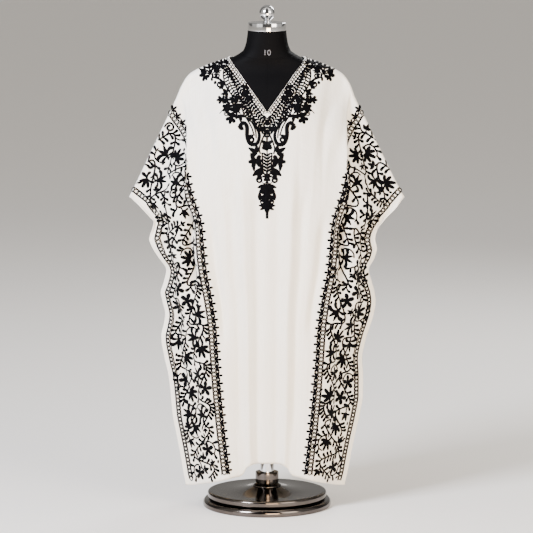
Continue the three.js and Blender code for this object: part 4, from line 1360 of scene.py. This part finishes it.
def lane_anchors(surface, lane, pitch, offset=0.5):
    """Evenly spaced anchors on a line of the cloth: place, outward normal and direction."""
    points = surface.sample(surface.outer, *lane.T)
    run = run_along(points)
    at = np.arange(pitch * offset, run[-1], pitch)
    row = np.interp(at, run, lane[:, 0])
    column = np.interp(at, run, lane[:, 1])
    place = surface.sample(surface.outer, row, column)
    normal = unit(surface.sample(surface.normal, row, column))
    ahead, behind = (np.stack([np.interp(where, run, points[:, axis]) for axis in range(3)], 1)
                     for where in (at + 2, at - 2))
    return place, normal, unit(ahead - behind)


def repeat_tree(name):
    """Node tree that sets a template on every anchor, turned to its line."""
    tree = bpy.data.node_groups.new(name, "GeometryNodeTree")
    face = tree.interface
    for label, kind in (("Geometry", "Geometry"), ("Template", "Object"), ("Size", "Float"),
                        ("Lift", "Float"), ("Material", "Material")):
        face.new_socket(label, in_out="INPUT", socket_type="NodeSocket" + kind)
    face.new_socket("Geometry", in_out="OUTPUT", socket_type="NodeSocketGeometry")
    given = add_node(tree, "NodeGroupInput")
    along, outward = (add_node(tree, "GeometryNodeInputNamedAttribute", {
        "data_type": "FLOAT_VECTOR", "Name": label}) for label in ("along", "outward"))
    lean = add_node(tree, "FunctionNodeAxesToRotation", {"primary_axis": "Z", "secondary_axis": "X"},
                    {"Primary Axis": outward, "Secondary Axis": along})
    lift = add_node(tree, "VectorMath", {"operation": "SCALE"},
                    {0: outward, "Scale": given.outputs["Lift"]})
    raised = add_node(tree, "GeometryNodeSetPosition", links={"Geometry": given, "Offset": lift})
    source = add_node(tree, "GeometryNodeObjectInfo", links={"Object": given.outputs["Template"]})
    copies = add_node(tree, "GeometryNodeInstanceOnPoints", links={
        "Points": raised, "Instance": source.outputs["Geometry"], "Rotation": lean,
        "Scale": given.outputs["Size"]})
    real = add_node(tree, "GeometryNodeRealizeInstances", links={"Geometry": copies})
    painted = add_node(tree, "GeometryNodeSetMaterial",
                       links={"Geometry": real, "Material": given.outputs["Material"]})
    add_node(tree, "NodeGroupOutput", links={"Geometry": painted})
    return tree


def repeat_on_anchors(name, template_mesh, anchors, material, lift=0.0):
    """Mesh of a template repeated on anchors."""
    place, outward, along = (np.concatenate([anchor[k] for anchor in anchors]) for k in range(3))
    points = bpy.data.meshes.new(name + "_anchors")
    points.vertices.add(len(place))
    points.vertices.foreach_set("co", (place * MM).astype(np.float32).ravel())
    for label, values in (("along", along), ("outward", outward)):
        layer = points.attributes.new(label, "FLOAT_VECTOR", "POINT")
        layer.data.foreach_set("vector", values.astype(np.float32).ravel())
    carrier = new_object(name + "_anchors", points)
    template = new_object(name + "_template", template_mesh)
    tree = repeat_tree(name + "_tree")
    modifier = carrier.modifiers.new("repeat", "NODES")
    modifier.node_group = tree
    given = {item.name: item.identifier for item in tree.interface.items_tree if item.in_out == "INPUT"}
    modifier[given["Template"]] = template
    modifier[given["Size"]] = 1.0
    modifier[given["Lift"]] = lift * MM
    modifier[given["Material"]] = material
    depsgraph = bpy.context.evaluated_depsgraph_get()
    mesh = bpy.data.meshes.new_from_object(carrier.evaluated_get(depsgraph))
    mesh.name = name
    carrier.modifiers.clear()
    for item in (carrier, template):
        bpy.data.objects.remove(item)
    bpy.data.node_groups.remove(tree)
    mesh.polygons.foreach_set("use_smooth", np.ones(len(mesh.polygons), bool))
    return mesh


def turns(count):
    """Angles of a full turn in equal steps."""
    return [2 * math.pi * k / count for k in range(count)]


def tube_faces(rings, sides, closed):
    """Quads from ring to ring of a tube, and from the last to the first where it is closed."""
    faces = []
    for i in range(rings if closed else rings - 1):
        j = (i + 1) % rings
        for k in range(sides):
            m = (k + 1) % sides
            faces.append([i * sides + k, j * sides + k, j * sides + m, i * sides + m])
    return faces


def chain_link_mesh(length, width, thread, point):
    """Open link of thread lying flat, its long way along X: an oval or, with point, a lozenge."""
    around, sides = 12, 5
    points = []
    for angle in turns(around):
        slim = abs(math.sin(angle)) ** point
        aside = width / 2 * math.copysign(slim, math.sin(angle))
        centre = Vector((length / 2 * math.cos(angle), aside, 0))
        outward = Vector((math.cos(angle), math.sin(angle), 0))
        for turn in turns(sides):
            reach = outward * math.cos(turn) + Vector((0, 0, math.sin(turn)))
            points.append(centre + reach * thread / 2)
    return small_mesh("chain_link", points, tube_faces(around, sides, True))


def stitch_mesh(length, thread):
    """One running stitch, a small spindle along X."""
    sides, rings = 5, 3
    points = [Vector((-length / 2, 0, 0))]
    for i in range(rings):
        t = (i + 1) / (rings + 1)
        radius = thread / 2 * math.sin(math.pi * t) ** 0.5
        for turn in turns(sides):
            points.append(Vector((length * (t - 0.5), radius * math.cos(turn), radius * math.sin(turn))))
    points.append(Vector((length / 2, 0, 0)))
    faces = []
    end = len(points) - 1
    for k in range(sides):
        m = (k + 1) % sides
        faces.append([0, 1 + m, 1 + k])
        for i in range(rings - 1):
            low, high = 1 + i * sides, 1 + (i + 1) * sides
            faces.append([low + k, low + m, high + m, high + k])
        faces.append([end, end - sides + k, end - sides + m])
    return small_mesh("stitch", points, faces)


def small_mesh(name, points, faces):
    """Template mesh from points in millimetres, laid flat for its UV map."""
    mesh = smooth_mesh(name, [Vector(p) * MM for p in points], faces)
    set_uv(mesh, [(p[0] * MM, p[1] * MM) for p in points])
    return mesh


def flat_motif_mesh(name, strokes, height):
    """Raised strokes lying flat on the XY plane, as a template."""
    points, faces = [], []
    for places, widths in strokes:
        normal = unit(np.gradient(places, axis=0))[:, ::-1] * (1, -1)
        start = len(points)
        for place, aside, width in zip(places, normal, widths):
            for side, up in ((-0.5, -0.3), (0, height), (0.5, -0.3)):
                x, y = place + aside * (width * side)
                points.append((x, y, up))
        for i in range(len(widths) - 1):
            a, b = start + 3 * i, start + 3 * (i + 1)
            faces += [[a, a + 1, b + 1, b], [a + 1, a + 2, b + 2, b + 1], [a + 2, a, b, b + 2]]
        end = start + 3 * (len(widths) - 1)
        faces += [[start + 2, start + 1, start], [end, end + 1, end + 2]]
    return small_mesh(name, points, faces)


# Turned pieces and the torso


def turned_mesh(name, profile, segments):
    """Solid turned about the upright axis from radius and height pairs."""
    points, faces, rings = [], [], []
    for radius, height in profile:
        if radius == 0:
            rings.append([len(points)])
            points.append((0, 0, height * MM))
            continue
        rings.append(list(range(len(points), len(points) + segments)))
        for angle in turns(segments):
            points.append((radius * math.cos(angle) * MM, radius * math.sin(angle) * MM, height * MM))
    for low, high in zip(rings, rings[1:]):
        for i in range(segments):
            j = (i + 1) % segments
            if len(low) == 1:
                faces.append([low[0], high[j], high[i]])
            elif len(high) == 1:
                faces.append([low[i], low[j], high[0]])
            else:
                faces.append([low[i], low[j], high[j], high[i]])
    if len(rings[0]) > 1:
        first, last = rings[0], rings[-1]
        for i in range(segments):
            j = (i + 1) % segments
            faces.append([last[i], last[j], first[j], first[i]])
    return smooth_mesh(name, points, faces, 32)


def rounded(profile, radius, steps=4):
    """Profile whose inner corners are rounded off."""
    result = [profile[0]]
    for before, here, after in zip(profile, profile[1:], profile[2:]):
        a, b, c = (np.array(p, float) for p in (before, here, after))
        reach = min(radius, norm(a - b) * 0.45, norm(c - b) * 0.45)
        if b[0] == 0:
            result.append(here)
            continue
        start = b + (a - b) / norm(a - b) * reach
        end = b + (c - b) / norm(c - b) * reach
        for t in np.linspace(0, 1, steps):
            result.append(tuple((1 - t) ** 2 * start + 2 * t * (1 - t) * b + t * t * end))
    result.append(profile[-1])
    return result


def torso_mesh():
    """Smooth torso with its neck, closed at both ends."""
    around = 120
    levels = np.concatenate([np.linspace(TORSO_UNDERSIDE, 1180, 60), np.linspace(1188, NECK_TOP, 40)])
    angle = np.linspace(0, 2 * np.pi, around, endpoint=False)
    wide = np.sign(np.cos(angle)) * np.abs(np.cos(angle)) ** (2 / TORSO_POWER)
    deep = np.sign(np.sin(angle)) * np.abs(np.sin(angle)) ** (2 / TORSO_POWER)
    points = []
    for z in levels:
        half = float(lookup(TORSO, "z", "half", z))
        x = half * wide
        depth = np.where(np.sin(angle) < 0, torso_depth(-1, x, z), torso_depth(1, x, z))
        points.append(np.stack([x, depth * deep, np.full(around, z)], 1))
    grid = np.array(points)
    flat = grid.reshape(-1, 3)
    index = np.arange(len(flat)).reshape(len(levels), around)
    after = np.roll(index, -1, axis=1)
    faces = np.stack([index[:-1], after[:-1], after[1:], index[1:]], -1).reshape(-1, 4).tolist()
    faces += [index[0][::-1].tolist(), index[-1].tolist()]
    return smooth_mesh("form_torso", (flat * MM).tolist(), faces, 50)


def torso_point(angle, z, off):
    """Point on the torso at an angle from the right side, a little off its surface."""
    half = float(lookup(TORSO, "z", "half", z)) + off
    wide = math.copysign(abs(math.cos(angle)) ** (2 / TORSO_POWER), math.cos(angle))
    deep = math.copysign(abs(math.sin(angle)) ** (2 / TORSO_POWER), math.sin(angle))
    x = half * wide
    depth = float(torso_depth(-1 if math.sin(angle) < 0 else 1, x, z)) + off
    return Vector((x, depth * deep, z))


def welt_mesh(name, points, radius, closed):
    """Thin rounded seam along points."""
    sides = 6
    count = len(points)
    verts = []
    for i, point in enumerate(points):
        ahead = points[(i + 1) % count] if closed or i + 1 < count else point
        behind = points[i - 1] if closed or i else point
        along = (ahead - behind).normalized()
        side = along.cross(Vector((0, 0, 1)))
        side = side.normalized() if side.length > 1e-3 else Vector((1, 0, 0))
        up = side.cross(along).normalized()
        for turn in turns(sides):
            verts.append((point + side * (radius * math.cos(turn)) + up * (radius * math.sin(turn))) * MM)
    faces = tube_faces(count, sides, closed)
    if not closed:
        faces.append(list(range(sides)))
        faces.append([(count - 1) * sides + k for k in reversed(range(sides))])
    return smooth_mesh(name, verts, faces)


# Settings


class KaftanClothSettings(bpy.types.PropertyGroup):
    wall: FloatProperty(name="Cloth thickness", description="Thickness of the cotton", default=0.0012,
                        min=0.0008, max=0.003, unit="LENGTH")
    cloth_colour: StringProperty(name="Cloth colour", description="Light threads", default="#F4F1E8")
    shade_colour: StringProperty(name="Shade colour", description="Shaded threads", default="#E6E1D6")
    # Tint of the painted warm bounce light from the floor on the lower cloth
    painted_bounce_colour: StringProperty(name="Warm colour", description="Warmer lower cloth", default="#EADFCB")


class KaftanThreadSettings(bpy.types.PropertyGroup):
    height: FloatProperty(name="Stitch height", description="Rise of the stitching off the cloth",
                          default=0.0008, min=0.0003, max=0.002, unit="LENGTH")
    thread_colour: StringProperty(name="Thread colour", description="Embroidery thread", default="#030304")
    sprig_pitch: FloatProperty(name="Sprig spacing", description="Spacing of sprigs on the band",
                               default=0.0235, min=0.015, max=0.05, unit="LENGTH")
    link_pitch: FloatProperty(name="Link spacing", description="Spacing of the braid's links",
                              default=0.0112, min=0.005, max=0.02, unit="LENGTH")


class KaftanStandSettings(bpy.types.PropertyGroup):
    jersey_colour: StringProperty(name="Jersey colour", description="Cover of the torso", default="#030304")
    chrome_colour: StringProperty(name="Chrome colour", description="Cap, ball and pole", default="#D9DADC")
    # Dark chrome of the collar and foot, with a slight warm tint that is a painted reflection of a warm
    # floor
    foot_colour: StringProperty(name="Foot colour", description="Collar and foot", default="#5B5551")
    segments: IntProperty(name="Roundness", description="Segments of the turned pieces", default=128,
                          min=32, max=256)


class KaftanStageSettings(bpy.types.PropertyGroup):
    floor_colour: StringProperty(name="Floor colour", description="Plain floor", default="#E9E5DF")
    camera_distance: FloatProperty(name="Camera distance", description="Distance in front of the stand",
                                   default=10.1, min=3, max=20, unit="LENGTH")
    camera_height: FloatProperty(name="Camera height", description="Height over the floor", default=2.18,
                                 min=0.5, max=4, unit="LENGTH")


PREPARED = {}


def surface_of(name):
    """Cloth surface of a panel, made once."""
    if name not in PREPARED:
        wall = bpy.context.scene.kaftan_cloth.wall / MM
        surface = ClothSurface(name, wall)
        surface.set_out_bands()
        PREPARED[name] = surface
    return PREPARED[name]


def material_of(name, maker):
    """Material made once."""
    if name not in PREPARED:
        PREPARED[name] = maker()
    return PREPARED[name]


def thread_material():
    """Black embroidery thread."""
    colour = bpy.context.scene.kaftan_thread.thread_colour
    return material_of("black_thread", lambda: embroidery_thread("black_cotton_thread", colour, 0.55))


# Operators


class KAFTAN_OT_cloth(bpy.types.Operator):
    """Make the front and back panels"""
    bl_idname = "kaftan.cloth"
    bl_label = "Cloth panels"

    def execute(self, context):
        settings = context.scene.kaftan_cloth
        material = material_of("cotton", lambda: slub_cotton(settings))
        for name in ("front", "back"):
            piece = new_piece(thick_mesh("cloth_" + name, surface_of(name)), material, "cloth")
            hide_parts("kaftan_" + name)
            PREPARED["cloth_" + name] = piece
        return {"FINISHED"}


class KAFTAN_OT_yoke(bpy.types.Operator):
    """Embroider the yoke and its pendant"""
    bl_idname = "kaftan.yoke"
    bl_label = "Yoke embroidery"

    def execute(self, context):
        stitching = Stitching(surface_of("front"), context.scene.kaftan_thread.height / MM)
        stitching.as_seen(yoke_strokes())
        PREPARED["yoke"] = new_piece(stitching.mesh("yoke_embroidery"), thread_material(), "cloth")
        return {"FINISHED"}


class KAFTAN_OT_bands(bpy.types.Operator):
    """Embroider the vines of the side bands"""
    bl_idname = "kaftan.bands"
    bl_label = "Side bands"

    def execute(self, context):
        height = context.scene.kaftan_thread.height / MM
        seeds = {("front", "left"): 11, ("front", "right"): 12, ("back", "left"): 13, ("back", "right"): 14}
        for (name, half), seed in seeds.items():
            surface = surface_of(name)
            stitching = Stitching(surface, height)
            Vine(stitching, half, seed).grow()
            for lane in ("inner", "inner_far", "outer_far", "outer"):
                places = surface.bands[half][lane]
                stitching.on_grid(places, np.full(len(places), 2.3))
            mesh = stitching.mesh(f"vine_{name}_{half}")
            PREPARED[f"vine_{name}_{half}"] = new_piece(mesh, thread_material(), "cloth")
        return {"FINISHED"}


class KAFTAN_OT_braids(bpy.types.Operator):
    """Set braid links, sprigs and hem stitches along their lines"""
    bl_idname = "kaftan.braids"
    bl_label = "Braids and stitches"

    def execute(self, context):
        settings = context.scene.kaftan_thread
        link, small_link = chain_link_mesh(*BAND_LINK), chain_link_mesh(*NECK_LINK)
        leaves = turned_strokes(fan((-58, 0, 58), (13.5, 16, 13.5), 7.6), 0, -6) + dot(3.2)
        sprig = flat_motif_mesh("sprig", [(points[:, ::-1], widths) for points, widths in leaves], 0.9)
        stitch = stitch_mesh(3.4, 0.8)
        white = material_of(
            "white_thread", lambda: embroidery_thread("white_sewing_thread", "#E8E4DA", 0.7))
        for name in ("front", "back"):
            surface = surface_of(name)
            chain, sprigs, stitches = [], [], []
            for half in ("left", "right"):
                band = surface.bands[half]
                for lane in ("inner_middle", "outer_middle"):
                    chain.append(lane_anchors(surface, band[lane], settings.link_pitch / MM))
                place, normal, along = lane_anchors(surface, band["sprigs"], settings.sprig_pitch / MM)
                inward = np.cross(normal, along)
                inward *= -np.sign(inward[:, :1] * place[:, :1])
                sprigs.append((place, normal, inward))
                hem = surface.march(band["edge"], -1, HEM_INSET)
                stitches.append(lane_anchors(surface, hem, HEM_PITCH))
            rows = len(surface.down)
            hem = np.stack([np.full(len(surface.across), rows - 3.0), np.arange(len(surface.across))], 1)
            stitches.append(lane_anchors(surface, hem, HEM_PITCH))
            for label, template, anchors, material, lift in (
                    ("braid", link, chain, thread_material(), 0.3),
                    ("neck_braid", small_link, self.neck_chains(surface), thread_material(), 0.3),
                    ("sprigs", sprig, sprigs, thread_material(), 0.4),
                    ("hem_stitches", stitch, stitches, white, 0.1)):
                mesh = repeat_on_anchors(f"{label}_{name}", template.copy(), anchors, material, lift)
                PREPARED[f"{label}_{name}"] = new_piece(mesh, material, "cloth")
        return {"FINISHED"}

    def neck_chains(self, surface):
        """Rows of links along the neck edge, two in front and one behind."""
        if surface.side < 0:
            rows = []
            for inset, offset in NECK_ROWS:
                points = neck_offset(np.linspace(0.0, 0.985, 60), inset)
                for sign in (-1, 1):
                    lane = surface.seen(points[:, 0] * sign, points[:, 1])
                    rows.append(lane_anchors(surface, lane, 9.4, offset))
            return rows
        columns = np.nonzero(np.abs(surface.across) < NECK_HALF - 1)[0].astype(float)
        row = np.interp(6.0, surface.fall[:, len(surface.across) // 2], np.arange(len(surface.down)))
        return [lane_anchors(surface, np.stack([np.full(len(columns), row), columns], 1), 7.2)]


class KAFTAN_OT_torso(bpy.types.Operator):
    """Make the jersey torso with its seams and size number"""
    bl_idname = "kaftan.torso"
    bl_label = "Torso"

    def execute(self, context):
        jersey = material_of("jersey", lambda: black_jersey(context.scene.kaftan_stand))
        torso = new_piece(torso_mesh(), jersey, "form_jersey")
        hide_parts("dress_form")
        around = np.linspace(0, 2 * np.pi, 96, endpoint=False)
        dips = [15 * math.sin(t) ** 2 * (1 if math.sin(t) < 0 else 0.4) for t in around]
        neck = [torso_point(t, 1331 - dip, 0.1) for t, dip in zip(around, dips)]
        new_piece(welt_mesh("neck_seam", neck, 0.7, True), jersey, "form_jersey")
        front = [torso_point(-math.pi / 2, z, 0.0) for z in np.linspace(1313, 1120, 40)]
        new_piece(welt_mesh("front_seam", front, 0.5, False), jersey, "form_jersey")
        self.size_number()
        return {"FINISHED"}

    def size_number(self):
        """Plain size number printed on the neck."""
        curve = bpy.data.curves.new("size_number", "FONT")
        curve.body = "10"
        curve.size = 0.0235
        curve.align_x = "CENTER"
        curve.align_y = "CENTER"
        curve.space_character = 1.0
        curve.offset = -0.0004
        text = new_object("size_number_text", curve)
        mesh = bpy.data.meshes.new_from_object(text.evaluated_get(bpy.context.evaluated_depsgraph_get()))
        bpy.data.objects.remove(text)
        mesh.name = "size_number"
        for vertex in mesh.vertices:
            x, z = vertex.co.x / MM, NUMBER_HEIGHT + vertex.co.y / MM
            half = float(lookup(TORSO, "z", "half", z))
            depth = float(torso_depth(-1, x, z)) * (1 - abs(x / half) ** TORSO_POWER) ** (1 / TORSO_POWER)
            vertex.co = Vector((x, -depth - 0.35, z)) * MM
        material, tree = new_material("pale_transfer_print")
        finish_material(tree, {"Base Color": linear("#77777A"), "Roughness": 0.6})
        mesh.materials.clear()
        new_piece(mesh, material, "form_jersey")


class KAFTAN_OT_stand(bpy.types.Operator):
    """Turn the cap, ball, pole, collar and foot"""
    bl_idname = "kaftan.stand"
    bl_label = "Stand"

    def execute(self, context):
        settings = context.scene.kaftan_stand
        chrome = material_of(
            "chrome", lambda: polished_metal("polished_chrome", settings.chrome_colour, 0.07))
        # Dark chrome whose slight warm tint is a painted reflection of a warm floor
        dark = material_of("dark", lambda: polished_metal("dark_chrome", settings.foot_colour, 0.09))
        for name, profile, material, slot in self.profiles(chrome, dark):
            piece = new_piece(turned_mesh("turned_" + name, profile, settings.segments), material, slot)
            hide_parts(name)
        return {"FINISHED"}

    def profiles(self, chrome, dark):
        """Profile of each turned piece, in millimetres."""
        cap = NECK_TOP + SEAM_GAP
        top = cap + 24
        yield "neck_cap", rounded([(0, cap), (55, cap), (55, top), (0, top)], 2.6), chrome, "chrome"
        low = top + SEAM_GAP
        centre = low + 6 + BALL_RADIUS * 0.93
        ball = [(0, low), (12.5, low), (12.5, low + 1.6), (10.2, low + 2.2), (10.2, low + 3.2),
                (11.6, low + 4), (9, low + 5)]
        for angle in np.linspace(-math.acos(9 / BALL_RADIUS), math.pi / 2, 30)[:-1]:
            ball.append((BALL_RADIUS * math.cos(angle), centre + BALL_RADIUS * math.sin(angle)))
        ball.append((0, centre + BALL_RADIUS))
        yield "ball_finial", ball, chrome, "chrome"
        foot, top = 67.3, TORSO_UNDERSIDE - SEAM_GAP
        yield "pole", [(0, foot), (POLE_RADIUS, foot), (POLE_RADIUS, top), (0, top)], chrome, "chrome"
        inner = POLE_RADIUS + SEAM_GAP
        collar = rounded([(inner, 99), (inner, foot), (34, foot), (34, 99), (25, 99)], 2.2)
        yield "pole_collar", collar + [(inner, 99)], dark, "dark_chrome"
        cone = rounded([(0, 57.3), (41.5, 57.3), (41.5, 59), (33.5, 66), (32.5, 67), (0, 67)], 1.2)
        yield "cone_ring", cone, dark, "dark_chrome"
        rim = [(150, 26.3), (173.6, 26.3), (174.6, 31), (174.6, 39), (172.6, 42.3), (166, 43.4)]
        plate = [(0, 26.3)] + rounded(rim, 2.5)
        for t in np.linspace(0, 1, 28)[1:]:
            plate.append((168.6 - (168.6 - 38.5) * t, 43.4 + (57 - 43.4) * t ** 3.2))
        plate.append((0, 57))
        yield "foot_plate", plate, dark, "dark_chrome"
        ring = [(0, 0), (188, 0), (188, 13), (183, 20), (173, 22), (164, 23.5), (163, 26), (0, 26)]
        yield "foot_ring", rounded(ring, 3.5), dark, "dark_chrome"


# Glow of the studio round the form, from the camera's side (0) to behind it (1): two tall soft lights
ROOM_GLOW = (
    (0.0, 0.05), (0.14, 0.05), (0.165, 0.8), (0.34, 0.8), (0.37, 0.28), (0.54, 0.28), (0.58, 0.07),
    (0.72, 0.07), (0.8, 0.18), (1.0, 0.18),
)
ROOM_STRENGTH = 2.6

# Lamps: name, place, width, power and colour, all turned to one height on the stand's middle line
LAMPS = (
    ("key", (-2.9, -3.0, 3.4), 1.4, 660, "#EEF2FF"), ("fill", (3.2, -3.4, 2.4), 2.4, 150, "#FFF2E4"),
    ("rim", (1.8, 3.2, 3.0), 1.6, 120, "#FFFFFF"), ("low", (0.6, -3.4, 0.35), 1.4, 170, "#FFDFBA"),
)
LIT_HEIGHT = 0.85
FLOOR_REACH = 30

# Camera: focal length over a 36 mm sensor, downward tilt and a shift of half a pixel
FOCAL_LENGTH = 236.7
CAMERA_TILT = 8.3
HALF_PIXEL = 0.5 / 533


class KAFTAN_OT_stage(bpy.types.Operator):
    """Lay the floor, place the lights and the camera"""
    bl_idname = "kaftan.stage"
    bl_label = "Stage"

    def execute(self, context):
        settings = context.scene.kaftan_stage
        corners = [(x * FLOOR_REACH, y * FLOOR_REACH, 0) for x, y in ((-1, -1), (1, -1), (1, 1), (-1, 1))]
        floor = smooth_mesh("floor", corners, [[0, 1, 2, 3]])
        new_object("floor", floor)
        material, tree = new_material("painted_floor")
        finish_material(tree, {"Base Color": linear(settings.floor_colour), "Roughness": 0.55})
        floor.materials.append(material)
        world = bpy.data.worlds.new("studio")
        context.scene.world = world
        world.use_nodes = True
        tree = world.node_tree
        coords = add_node(tree, "TexCoord")
        axes = add_node(tree, "SeparateXYZ", links={0: coords.outputs["Generated"]})
        aside = add_node(tree, "Math", {"operation": "ABSOLUTE"}, {0: axes.outputs["X"]})
        ahead = add_node(tree, "Math", {"operation": "MULTIPLY", 1: -1.0}, {0: axes.outputs["Y"]})
        turn = add_node(tree, "Math", {"operation": "ARCTAN2"}, {0: aside, 1: ahead})
        share = add_node(tree, "Math", {"operation": "DIVIDE", 1: math.pi}, {0: turn})
        ramp = add_node(tree, "ValToRGB", links={"Fac": share})
        stops = ramp.color_ramp.elements
        for row in ROOM_GLOW[1:-1]:
            stops.new(row[0])
        for stop, (at, glow) in zip(stops, ROOM_GLOW):
            stop.position = at
            stop.color = (glow, glow, glow, 1)
        strength = add_node(tree, "Math", {"operation": "MULTIPLY", 1: ROOM_STRENGTH}, {0: ramp})
        back = tree.nodes["Background"]
        tree.links.new(strength.outputs[0], back.inputs["Strength"])
        back.inputs["Color"].default_value = linear("#EEEAE4")
        for name, place, size, power, tint in LAMPS:
            lamp = bpy.data.lights.new(name, "AREA")
            lamp.size = size
            lamp.energy = power
            lamp.color = linear(tint)[:3]
            light = new_object(name, lamp)
            light.location = place
            aim = Vector((0, 0, LIT_HEIGHT)) - Vector(place)
            light.rotation_euler = aim.to_track_quat("-Z", "Y").to_euler()
        lens = bpy.data.cameras.new("camera")
        lens.lens = FOCAL_LENGTH
        lens.sensor_width = 36
        lens.shift_x = -HALF_PIXEL
        camera = new_object("camera", lens)
        camera.location = (0, -settings.camera_distance, settings.camera_height)
        camera.rotation_euler = (math.radians(90 - CAMERA_TILT), 0, 0)
        context.scene.camera = camera
        return {"FINISHED"}


class KAFTAN_OT_declare(bpy.types.Operator):
    """Gathers the pieces sewn on each panel, beside the flat area it was cut to; nothing is stated or kept
    """
    bl_idname = "kaftan.declare"
    bl_label = "Declare the cloth"

    def execute(self, context):
        for name, area in (("front", 1.02), ("back", 1.02)):
            labels = ("braid", "neck_braid", "sprigs", "hem_stitches")
            sewn = [PREPARED[f"{label}_{name}"] for label in labels]
            sewn += [PREPARED[f"vine_{name}_{half}"] for half in ("left", "right")]
            if name == "front":
                sewn.append(PREPARED["yoke"])
        return {"FINISHED"}


class KAFTAN_PT_panel(bpy.types.Panel):
    """Lists the kaftan's operators and settings"""
    bl_label = "Kaftan"
    bl_idname = "KAFTAN_PT_panel"
    bl_space_type = "VIEW_3D"
    bl_region_type = "UI"
    bl_category = "Kaftan"

    def draw(self, context):
        for group in ("kaftan_cloth", "kaftan_thread", "kaftan_stand", "kaftan_stage"):
            settings = getattr(context.scene, group)
            for name in settings.__annotations__:
                self.layout.prop(settings, name)
        for operator in OPERATORS:
            self.layout.operator(operator.bl_idname)


OPERATORS = (KAFTAN_OT_stage, KAFTAN_OT_cloth, KAFTAN_OT_yoke, KAFTAN_OT_bands, KAFTAN_OT_braids,
             KAFTAN_OT_torso, KAFTAN_OT_stand, KAFTAN_OT_declare)
GROUPS = {"kaftan_cloth": KaftanClothSettings, "kaftan_thread": KaftanThreadSettings,
          "kaftan_stand": KaftanStandSettings, "kaftan_stage": KaftanStageSettings}


def register():
    """Registers the settings, operators and panel."""
    for name, group in GROUPS.items():
        bpy.utils.register_class(group)
        setattr(bpy.types.Scene, name, PointerProperty(type=group))
    for operator in OPERATORS:
        bpy.utils.register_class(operator)
    bpy.utils.register_class(KAFTAN_PT_panel)


def unregister():
    """Takes the panel, operators and settings away."""
    bpy.utils.unregister_class(KAFTAN_PT_panel)
    for operator in reversed(OPERATORS):
        bpy.utils.unregister_class(operator)
    for name, group in GROUPS.items():
        delattr(bpy.types.Scene, name)
        bpy.utils.unregister_class(group)


def main():
    """Registers the add-on and builds every piece."""
    register()
    for operator in OPERATORS:
        group, name = operator.bl_idname.split(".")
        getattr(getattr(bpy.ops, group), name)()


if __name__ == "__main__":
    main()
